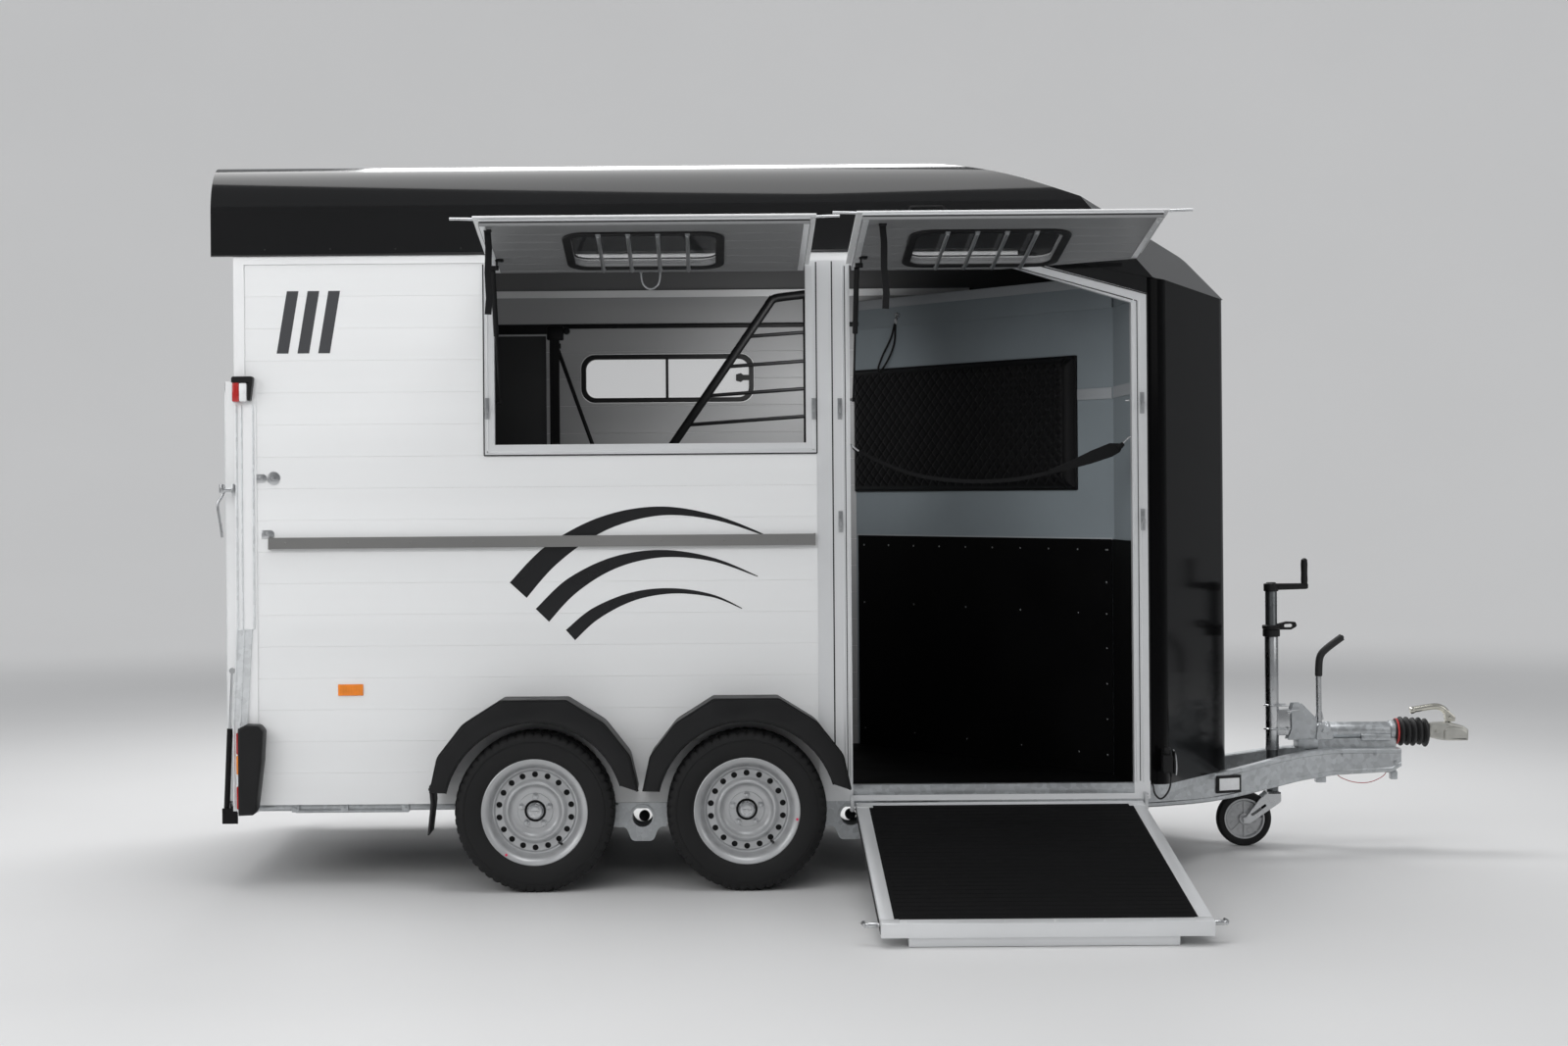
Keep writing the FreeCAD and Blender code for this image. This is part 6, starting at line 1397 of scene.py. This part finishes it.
def make_rear():
    """Galvanised post covers, tail and marker lamps, and the bolt levers."""
    posts = Piece("rear_post_covers")
    for side, low, high in both_sides(865.5, 872):
        posts.plate("XZ", [[(6, 967), (64, 967), (42, 614), (42, 285), (-14, 285), (-14, 614)]],
                    low, high, 1.5)
        for x0, x1 in ((4, 12), (24, 30), (66, 74)):
            posts.box((x0, low, 967), (x1, high, 1808), 1.5)
        for x0, x1 in ((-12, -6), (10, 15), (36, 41)):
            near, far = sorted((side * 872, side * 872 + side * 3))
            posts.box((x0, near, 290), (x1, far, 614), 1.2)
        for x0, x1 in ((-12, 8), (12, 33), (37, 60)):
            y = side * 873.5
            posts.strip([(x0 + 3, y, 614), (x1 - 1, y, 964)], (1, 0, 0.06), 4, 6)
        for z in (330, 560, 700, 900):
            posts.bolt((14 + max(0, z - 614) * 0.05, side * 873, z), (0, side, 0), 5, 4)
    # The covers take the galvanised finish's paler copy, painted light.
    posts.done("galvanised_painted_light")
    tail = Piece("tail_lamp_housings")
    for side, low, high in both_sides(866.3, 948):
        tail.plate("XZ", [rounded([(46, 614), (96, 612, 20), (114, 590, 16), (108, 480, 60),
                                   (86, 300, 14), (74, 278, 10), (18, 276), (18, 600)], 5)],
                   low, high, 9)
    tail.done("plastic", replaces=["tail_lamps"])
    red, amber, clear = Piece("red_lenses"), Piece("amber_lenses"), Piece("clear_lenses")
    for side, low, high in both_sides(878, 940):
        red.box((12, low, 300), (20, high, 385), 4)
        clear.box((12, low, 389), (20, high, 425), 4)
        amber.box((12, low, 429), (20, high, 500), 4)
        red.box((12, low, 504), (20, high, 585), 4)
        for k in range(10):
            for piece, z0, z1 in ((red, 304, 381), (amber, 433, 496), (red, 508, 581)):
                y = low + 4 + k * 5.6
                piece.box((11.3, y, z0), (12.4, y + 3, z1), 0.4, 1)
        low, high = sorted((side * 868, side * 904))
        red.box((-2, low, 1818), (26, high, 1892), 6)
        clear.box((24, low, 1820), (54, high, 1890), 6)
    red.done("red_lens")
    amber.done("amber")
    clear.done("clear_lens")
    marker = Piece("marker_lamp_housings")
    for side, low, high in both_sides(866.3, 905):
        marker.plate("XZ", [rounded([(-4, 1890, 4), (60, 1890), (56, 1822, 16), (66, 1822, 5),
                                     (76, 1895), (78, 1914, 8), (-4, 1914, 8)], 4)], low, high, 3)
    marker.done("plastic", replaces=["tail_lamps"])
    bolt = Piece("rear_bolt_levers")
    for side in (RIGHT, LEFT):
        y = side * 852
        bolt.rod((-58, y, 1489), (8, y, 1489), 8, sides=20, bevel=1.5)
        bolt.rod((-50, y, 1478), (-50, y, 1512), 11, sides=24, bevel=2)
        bolt.sweep([(-44, y, 1488), (-46, y + side * 6, 1462), (-70, y + side * 8, 1450),
                    (-62, y + side * 8, 1400), (-52, y + side * 6, 1340),
                    (-50, y + side * 5, 1312)],
                   5.5, 12)
        bolt.box((-12, min(y - 14, y + 14), 1465), (6, max(y - 14, y + 14), 1512), 3)
    bolt.done("zinc")
    make_rear_ramp()


def make_rear_ramp():
    """Planks, rim and mat of the rear ramp, the blank plate in its holder, and the blind."""
    face = -46
    planks = Piece("rear_ramp_planks")
    for i in range(13):
        low = 340 + 118 * i
        planks.box((face - 2.5, -752, low + 0.3), (face + 0.3, 752, low + 117.7), 1.2, 1)
    planks.done("plank", "rear_ramp")
    rim = Piece("rear_ramp_rim")
    for side, low, high in both_sides(750, 794):
        rim.box((face - 4, low, 302), (face + 0.5, high, 1898), 2)
    rim.box((face - 4, -794, 1862), (face + 0.5, 794, 1899), 2)
    rim.box((face - 4, -794, 302), (face + 0.5, 794, 342), 2)
    for z in (560, 1180, 1640):
        rim.box((face - 8, -700, z - 14), (face - 2, 700, z + 14), 3)
    rim.done("frame", "rear_ramp")
    plate = Piece("blank_plate")
    plate.plate("YZ", [rounded(rect(-260, 400, 260, 512, 10), 5)], face - 5, face - 2, 1)
    for y in (-200, 200):
        plate.rivet((face - 5, y, 456), (-1, 0, 0), 5)
    plate.done("plank", "rear_ramp")
    holder = Piece("plate_holder")
    holder.plate("YZ", [rounded(rect(-268, 392, 268, 520, 14), 5)], face - 3.4, face - 1.8, 0.6)
    for y in (-150, 150):
        holder.box((face - 12, y - 40, 522), (face - 2, y + 40, 542), 4)
    for side in (RIGHT, LEFT):
        y = side * 560
        holder.sweep([(face - 3, y - 70, 1490), (face - 12, y - 66, 1490), (face - 14, y, 1490),
                      (face - 12, y + 66, 1490), (face - 3, y + 70, 1490)], 9, 12)
    holder.done("plastic", "rear_ramp")
    mat = Piece("rear_ramp_mat")
    mat.box((-6.3, -752, 330), (-4.6, 752, 1870), 0.6, 1)
    for i in range(28):
        z = 350 + i * 54
        mat.box((-5, -740, z), (-2.5, 740, z + 9), 1, 1)
    mat.done("mat", "rear_ramp")
    blind = Piece("rear_blind_sheet")
    part = bmesh.new()
    nu, nv = 96, 30
    grids = []
    for depth in (7.0, 8.6):
        rows_made = []
        for i in range(nu + 1):
            y = -768 + 1536 * i / nu
            row = []
            for j in range(nv + 1):
                z = 1812 + 474 * j / nv
                sag = (1.6 * math.sin(y / 61) + 1.2 * math.sin(y / 23 + z / 90)) * math.sin(
                    math.pi * j / nv)
                row.append(part.verts.new((depth + sag, y, z)))
            rows_made.append(row)
        grids.append(rows_made)
    for index, rows_made in enumerate(grids):
        for i in range(nu):
            for j in range(nv):
                quad = (rows_made[i][j], rows_made[i + 1][j], rows_made[i + 1][j + 1],
                        rows_made[i][j + 1])
                part.faces.new(quad if index else quad[::-1])
    rims = [[r[0] for r in g] + g[-1][1:] + [r[nv] for r in g[-2::-1]] + g[0][-2:0:-1]
            for g in grids]
    for i in range(len(rims[0])):
        j = (i + 1) % len(rims[0])
        part.faces.new((rims[0][i], rims[0][j], rims[1][j], rims[1][i]))
    bmesh.ops.recalc_face_normals(part, faces=part.faces)
    blind.take(part)
    sheet = blind.done("blind", replaces=["rear_blind"], angle=50)
    hem = Piece("rear_blind_hem")
    for z in (1822, 2276):
        hem.box((4, -768, z - 10), (11.5, 768, z + 10), 2.5)
    for y in (-750, 750):
        hem.box((4, y - 12, 1822), (11.5, y + 12, 2276), 2.5)
    hems = hem.done("webbing", slot="blind")


def make_left_side():
    """Rim, planks and lock of the tack room door on the left."""
    y = 894
    rim = Piece("tack_door_rim")
    outer = rounded(rect(2545, 455, 3255, 2135, 40), 8)
    inner = rounded(rect(2575, 485, 3225, 2105, 24), 8)
    rim.plate("XZ", [outer, inner[::-1]], y - 3, y + 3, 2)
    rim.done("frame", "tack_door")
    planks = Piece("tack_door_planks")
    for i in range(14):
        low = 487 + 115.5 * i
        planks.box((2577, y - 0.4, low + 0.3), (3223, y + 1.6, low + 115.2), 0.9, 1)
    planks.done("plank", "tack_door")
    lock = Piece("tack_door_lock")
    lock.plate("XZ", [rounded(rect(2590, 1180, 2650, 1300, 14), 6)], y + 1, y + 9, 3)
    lock.box((2604, y + 8, 1200), (2636, y + 20, 1282), 6)
    lock.done("plastic", "tack_door")
    key = Piece("tack_door_keyhole")
    key.rod((2620, y + 19, 1216), (2620, y + 23, 1216), 9, sides=24, bevel=1)
    key.done("zinc", "tack_door")


def between(line, station):
    """Height of an open line of (station, height) at a station."""
    for (x0, z0), (x1, z1) in zip(line, line[1:]):
        if x0 <= station <= x1:
            return z0 + (z1 - z0) * (station - x0) / (x1 - x0)
    return line[-1][1]


def bend_beam(side):
    """One drawbar arm: a folded section led along its side view and inwards to the tube."""
    upper = [(2650, 318), (3560, 318), (3700, 321), (3780, 327), (3860, 338), (3940, 352),
             (4060, 376), (4160, 392), (4220, 398), (4300, 402), (4588, 402)]
    lower = [(2650, 208), (3560, 210), (3700, 213), (3780, 218), (3860, 227), (3940, 240),
             (4060, 262), (4160, 280), (4260, 292), (4330, 297), (4460, 303), (4550, 308),
             (4588, 330)]
    stations = [2650, 3560] + [3600 + 30 * i for i in range(25)] + [4400, 4500, 4550, 4588]
    lip = 5
    arm = Piece("arm")
    loops = []
    for x in stations:
        inner = max(35.5, 640 - 604.5 * (x - 2650) / 1680)
        low, high = between(lower, x), between(upper, x)
        ring = [(inner, low + lip), (inner, high - lip), (inner + lip, high),
                (inner + 60 - lip, high),
                (inner + 60, high - lip), (inner + 60, high - 16), (inner + 57, high - 19),
                (inner + 57, low + 19), (inner + 60, low + 16), (inner + 60, low + lip),
                (inner + 60 - lip, low), (inner + lip, low)]
        loops.append([arm.mesh.verts.new((x, side * y, z)) for y, z in ring])
    for first, second in zip(loops, loops[1:]):
        for i in range(len(first)):
            j = (i + 1) % len(first)
            arm.mesh.faces.new((first[i], first[j], second[j], second[i]))
    arm.mesh.faces.new(loops[0])
    arm.mesh.faces.new(loops[-1][::-1])
    bmesh.ops.recalc_face_normals(arm.mesh, faces=arm.mesh.faces)
    return arm


def make_drawbar():
    arms = Piece("drawbar_beams")
    for side in (RIGHT, LEFT):
        arms.take(bend_beam(side).mesh)
    for x, wide in ((4300, 37), (4420, 36.5), (4560, 36.5)):
        arms.box((x, -wide, 300), (x + 8, wide, 330), 1.5)
    for x in (4352, 4486, 4566):
        for side in (RIGHT, LEFT):
            arms.bolt((x, side * 95.2, 380 if x < 4566 else 345), (0, side, 0), 7, 5)
    arms.box((4250, -60, 262), (4290, -22, 296), 3)
    arms.box((4556, -52, 272), (4584, -20, 306), 3)
    arms.rod((4337, -30, 318), (4337, -30, 296), 7, sides=18, bevel=1.5)
    arms.rod((4546, -30, 322), (4546, -30, 298), 7, sides=18, bevel=1.5)
    arms.done("galvanised", replaces=["drawbar_arms"])
    marker = Piece("front_reflector_bezels")
    lens = Piece("front_reflectors")
    along = Vector((1680, 605, 0)).normalized()
    for side in (RIGHT, LEFT):
        run = Vector((along.x, -side * along.y, 0))
        out = Vector((along.y, side * along.x, 0))
        share = (3846 - 2650) / 1680
        spot = Vector((3846, side * (700 - 605 * share), 285))
        for piece, half_x, half_z, near, far in ((marker, 56, 35, -1, 7), (lens, 46, 24, 6, 10)):
            block = Piece("block")
            block.box((-half_x, near, -half_z), (half_x, far, half_z), 2.5)
            for vert in block.mesh.verts:
                x, y, z = vert.co
                vert.co = spot + run * x + out * y + Vector((0, 0, z))
            bmesh.ops.recalc_face_normals(block.mesh, faces=block.mesh.faces)
            piece.take(block.mesh)
    marker.done("plastic")
    lens.done("clear_lens")
    plug = Piece("plug_holder")
    plug.box((3470, -900, 404), (3508, -846, 470), 5)
    plug.rod((3489, -880, 470), (3489, -880, 498), 12, sides=24, bevel=3)
    plug.rod((3502, -884, 404), (3502, -884, 388), 7, end_radius=4.5, sides=20)
    plug.box((3512, -892, 400), (3518, -850, 486), 2)
    plug.done("plastic")
    clip = Piece("plug_clip")
    clip.sweep([(3520, -888, 395), (3524, -892, 440), (3520, -890, 480), (3510, -886, 490)], 2.4,
               12)
    clip.done("zinc")


def make_coupling():
    axis = 468
    unit = Piece("overrun_housing")
    unit.rod((4262, 0, axis), (4585, 0, axis), 36, sides=64, bevel=1.5)
    unit.rod((4563, 0, axis), (4585, 0, axis), 41, sides=64, bevel=2)
    unit.rod((4300, 0, axis), (4316, 0, axis), 39, sides=64, bevel=2)
    unit.box((4232, -35, 300), (4584, 35, 440), 2)
    for side, low, high in both_sides(22, 28):
        unit.plate("XZ", [[(4142, 434), (4262, 434), (4262, 520), (4201, 583), (4166, 583),
                           (4158, 560),
                           (4158, 480)]], low, high, 1)
        low, high = sorted((side * 28, side * 40))
        unit.plate("XZ", [rounded([(4256, 434), (4330, 434, 10), (4316, 478, 12), (4276, 506, 10),
                                   (4262, 490, 8)], 4)], low, high, 2)
        low, high = sorted((side * 30, side * 44))
        unit.box((4440, low, 430), (4560, high, 450), 3)
        unit.rod((4440, side * 37, 452), (4560, side * 37, 452), 6, sides=16, bevel=1)
        unit.rod((4286, side * 28, 470), (4286, side * 46, 470), 9, sides=6, bevel=1)
    unit.box((4180, -44, 398), (4262, 44, 436), 5)
    unit.done("galvanised", replaces=["overrun_unit"])
    boot = Piece("bellows_boot")
    profile = [(37, 0), (49, 0), (52, 6)]
    for i in range(5):
        x = 12 + i * 25
        r = 57 - i * 1.2
        profile += [(r - 10, x), (r - 3, x + 5), (r + 2, x + 9), (r + 3, x + 12.5), (r + 2, x + 16),
                    (r - 3, x + 20)]
    profile += [(44, 134), (38, 135), (34, 130), (37, 100)]
    boot.lathe(profile, (4585.3, 0, axis - 4), (1, 0, 0), 72)
    for vert in boot.mesh.verts:
        share = (vert.co.x - 4585) / 135
        drop = 5 * math.sin(vert.co.x / 9) * share + 9 * max(0.0, share - 0.35)
        vert.co.z -= drop if vert.co.z < axis else drop * 0.35
    boot.done("rubber", replaces=["bellows"])
    band = Piece("bellows_band")
    band.lathe([(50, 3), (53, 3), (53, 10), (50, 10)], (4585.3, 0, axis - 4), (1, 0, 0), 64)
    band.done("red_cord")
    lever = Piece("brake_lever_shaft")
    lever.rod((4277, 0, 500), (4276, 0, 700), 11.5, sides=24)
    lever.plate("XZ", [rounded([(4262, 512), (4296, 512, 6), (4290, 540, 8), (4284, 560, 4),
                                (4270, 560, 4), (4266, 540, 8)], 4)], -7, 7, 1.5)
    lever.done("zinc", replaces=["handbrake_lever"])
    grip = Piece("brake_lever_grip")
    grip.sweep([(4277, 0, 698), (4278, 0, 740), (4280, 0, 775), (4302, 0, 800), (4340, 0, 828),
                (4374, 0, 852)], 15, 20)
    grip.rod((4277, 0, 692), (4277, 0, 704), 14.5, sides=24, bevel=2)
    grip.rod((4366, 0, 846), (4379, 0, 856), 12.5, end_radius=7, sides=24, bevel=3)
    grip.done("rubber", replaces=["handbrake_lever"])


def make_coupling_head():
    head = Piece("coupling_casting")
    for low_y, high_y, inset in ((-30, 30, 0), (-38, 38, 1)):
        shape = [(4722, 440), (4760, 430, 8), (4790, 426), (4883, 426, 4), (4884, 470, 14),
                 (4862, 486, 20), (4800, 501, 30), (4722, 497)]
        if inset:
            shape = [(4780, 430, 6), (4795, 426), (4880, 426, 4), (4880, 462, 18), (4858, 478, 20),
                     (4812, 484, 26), (4780, 470, 14)]
        head.plate("XZ", [rounded(shape, 5)], low_y, high_y, 9)
    head.bolt((4752, -30, 462), (0, -1, 0), 7, 6)
    head.bolt((4752, 30, 462), (0, 1, 0), 7, 6)
    socket = Piece("socket")
    socket.rod((4824, 0, 380), (4824, 0, 455), 25.4, sides=48)
    head.cut(socket)
    head.done("cast", replaces=["coupling_head"])
    handle = Piece("coupling_lever")
    handle.sweep([(4655, 0, 549), (4690, 0, 556), (4730, 0, 563), (4770, 0, 566), (4796, 0, 548),
                  (4814, 0, 520), (4820, 0, 502)], 13, 20)
    handle.rod((4650, 0, 547), (4668, 0, 551), 15, sides=24, bevel=5)
    handle.plate("XZ", [rounded([(4786, 556, 10), (4806, 548, 8), (4836, 520, 8), (4832, 503),
                                 (4794, 503), (4790, 530, 10)], 4)], -14, 14, 4)
    handle.rod((4812, -17, 520), (4812, 17, 520), 7, sides=20, bevel=1.5)
    handle.done("yellow_zinc", replaces=["coupling_handle"])


JOCKEY_HUB = (3964, 0, 112)


def make_jockey():
    x = 4084
    tube = Piece("jockey_tube")
    tube.rod((x, 0, 222), (x, 0, 1044), 23.8, sides=48, bevel=1)
    for z in (985, 1000, 1015):
        tube.lathe([(23, -2), (24.6, -1.5), (24.6, 1.5), (23, 2)], (x, 0, z), (0, 0, 1), 48)
    tube.done("dark_zinc", replaces=["jockey_leg"])
    crank = Piece("jockey_crank")
    crank.rod((x, 0, 1042), (x, 0, 1074), 30, sides=48, bevel=3)
    crank.rod((x, 0, 1070), (x, 0, 1079), 25, end_radius=18, sides=40, bevel=1.5)
    crank.plate("XZ", [rounded([(x - 10, 1046), (x + 140, 1050, 4), (x + 151, 1052, 6),
                                (x + 151, 1074, 6), (x - 10, 1074)], 4)], -11, 11, 3)
    crank.lathe([(0.5, 0), (13, 0), (14, 14), (13, 40), (14, 78), (12.5, 96), (7, 102), (0.5, 103)],
                (x + 137, 0, 1074), (0, 0, 1), 32)
    crank.done("plastic", replaces=["jockey_leg"])
    sleeve = Piece("jockey_sleeve")
    sleeve.rod((x, 0, 392), (x, 0, 862), 27.4, sides=48, bevel=1)
    for z in (478, 575):
        for side in (LEFT, RIGHT):
            sleeve.sweep([(x - 31, 0, z), (x - 22, side * 24, z), (x, side * 33, z),
                          (x + 40, side * 31, z), (x + 62, side * 26, z)], 4, 12)
    sleeve.box((x + 18, -21, 452), (x + 74, 21, 558), 2)
    sleeve.rod((x + 62, -34, 545), (x + 62, 34, 545), 6, sides=18, bevel=1)
    sleeve.rod((x + 62, -34, 480), (x + 62, 34, 480), 6, sides=18, bevel=1)
    sleeve.sweep([(x + 62, -36, 548), (x + 80, -38, 556), (x + 104, -38, 556)], 4, 12)
    sleeve.done("zinc", replaces=["jockey_clamp"])
    collar = Piece("jockey_collar")
    collar.lathe([(24.4, 0), (34, 0), (35, 3), (35, 26), (33, 28), (37, 32), (37, 44), (34, 47),
                  (24.4, 47)], (x, 0, 857), (0, 0, 1), 48)
    collar.plate("XZ", [rounded([(x + 20, 884), (x + 80, 884, 10), (x + 106, 898, 10),
                                 (x + 98, 916, 8),
                                 (x + 60, 918, 10), (x + 20, 908)], 5),
                        rounded([(x + 52, 894, 4), (x + 82, 894, 6), (x + 88, 902, 4),
                                 (x + 80, 908, 5),
                                 (x + 52, 906, 4)], 4)[::-1]], -9, 9, 2.5)
    collar.done("plastic", replaces=["jockey_clamp"])
    fork = Piece("jockey_fork_cheeks")
    for side, low, high in both_sides(30, 36):
        fork.plate("XZ", [rounded([(3946, 94, 16), (3982, 94, 16), (4112, 182, 14), (4110, 221.3),
                                   (4058, 221.3), (4022, 192, 14)], 5),
                          rounded([(3992, 124, 4), (4052, 166, 4), (4046, 174, 4), (3986, 132, 4)],
                                  4)[::-1]],
                   low, high, 1.2)
        fork.rod((3964, side * 36, 112), (3964, side * 44, 112), 12, sides=6, bevel=1.5)
    fork.box((4058, -36, 214), (4110, 36, 221.3), 1)
    fork.rod((3964, -40, 112), (3964, 40, 112), 7.8, sides=24)
    fork.done("zinc", "jockey_fork", ["jockey_fork"])
    tyre = Piece("jockey_tyre")
    tyre.lathe([(82, -19), (86, -22), (94, -24), (104, -23), (110, -17), (112, -8), (112, 8),
                (110, 17), (104, 23), (94, 24), (86, 22), (82, 19)], JOCKEY_HUB, (0, 1, 0), 96)
    tyre.done("tyre", "jockey_wheel", ["jockey_wheel"], slot="rubber")
    disc = Piece("jockey_wheel_disc")
    disc.lathe([(8.1, -25), (22, -25), (24, -22), (24, -9), (70, -8), (76, -20), (82, -21),
                (82.4, -19), (82.4, 19), (82, 21), (76, 20), (70, 8), (24, 9), (24, 22), (22, 25),
                (8.1, 25)], JOCKEY_HUB, (0, 1, 0), 80)
    for k in range(8):
        run = spoke(45 * k)
        for side in (RIGHT, LEFT):
            spot = Vector((3964, side * 12, 112))
            disc.strip([spot + run * 22, spot + run * 76], (0, 1, 0), 5, 8)
            turn = math.radians(45 * k + 22.5)
            hole = Vector((3964 + 52 * math.cos(turn), side * 7.6, 112 + 52 * math.sin(turn)))
            disc.rod(hole, hole + Vector((0, side * 2.4, 0)), 10, sides=20, bevel=0.8)
    disc.done("rim", "jockey_wheel", ["jockey_wheel"], slot="zinc")


def make_partition_details():
    knobs = Piece("partition_fittings")
    knobs.box((1120, -24, 2095), (1188, 24, 2152), 5)
    knobs.rod((1200, -20, 2132), (1200, 20, 2132), 14, sides=28, bevel=3)
    knobs.box((1150, -12, 2060), (1176, 12, 2082), 3)
    knobs.rod((1136, -18.2, 1500), (1136, -18.2, 2100), 5, sides=16)
    knobs.done("steel_black")
    rear = Piece("partition_rear_panel")
    rear.box((92, -5, 1497), (1116, 5, 2112), 3)
    for x in (300, 560, 820):
        rear.box((x, -7, 1510), (x + 6, 7, 2100), 1.5)
    rear.done("dark_board")


CAD_FINISH = {
    # The top rails and the rear frame take the frame's paler copy, painted light.
    "floor": "kick", "sliding_window": "plastic", "top_rails": "bright_rail",
    "brow_strips": "gloss_black", "window_frame": "frame", "door_frame": "frame",
    "nose_shell": "nose_black", "nose_sill": "galvanised", "roof_shell": "gloss_black",
    "rear_frame": "bright_rail", "rear_blind": "blind", "rear_ramp": "plank",
    "rear_strut_cylinders": "steel_black", "rear_strut_rods": "chrome", "side_ramp": "frame",
    "window_flap": "inner_plank", "window_flap_pane": "glass",
    "window_strut_cylinder": "steel_black", "window_strut_rod": "steel_black",
    "door_flap": "inner_plank", "door_flap_pane": "glass", "door_strut_cylinder": "steel_black",
    "door_strut_rod": "steel_black", "tack_door": "plank", "swing_arms": "galvanised",
    "axle_brackets": "galvanised", "mudguards": "plastic", "chassis_frame": "galvanised",
    "drawbar_arms": "galvanised", "overrun_unit": "galvanised", "bellows": "rubber",
    "coupling_head": "cast", "coupling_handle": "chrome", "handbrake_lever": "zinc",
    "jockey_clamp": "galvanised", "jockey_leg": "zinc", "jockey_fork": "zinc",
    "jockey_wheel": "rubber", "partition": "steel_black", "head_grille": "steel_black",
    "kick_board": "kick", "tack_wall": "grey_wall",
    "quilted_pad": "vinyl", "tail_lamps": "plastic", "rub_rails": "rail",
    "hinge_rods": "zinc", "strut_mounts": "steel_black",
}
for axle in ("front", "rear"):
    for side in ("right", "left"):
        CAD_FINISH[f"tyre_{axle}_{side}"] = "tyre"
        CAD_FINISH[f"rim_{axle}_{side}"] = "rim"


def finish_cad():
    for node, key in CAD_FINISH.items():
        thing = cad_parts.get(node)
        if thing is None:
            continue
        if not thing.material_slots:
            thing.data.materials.append(M[key])
        for holder in thing.material_slots:
            holder.link = "OBJECT"
            holder.material = M[key]


finish_cad()
make_walls()
make_liners()
make_frame_details()
make_graphics()
make_wall_fixtures()
make_flaps()
make_side_ramp()
make_wheels()
make_bracket_hole_shade()
make_mudguards()
make_quilted_pad()
make_tack_wall()
make_tethers()
make_sliding_window()
make_roof_details()
make_rear()
make_left_side()
make_drawbar()
make_coupling()
make_coupling_head()
make_jockey()
make_partition_details()
make_roof_lining()
make_grille()
make_cords()
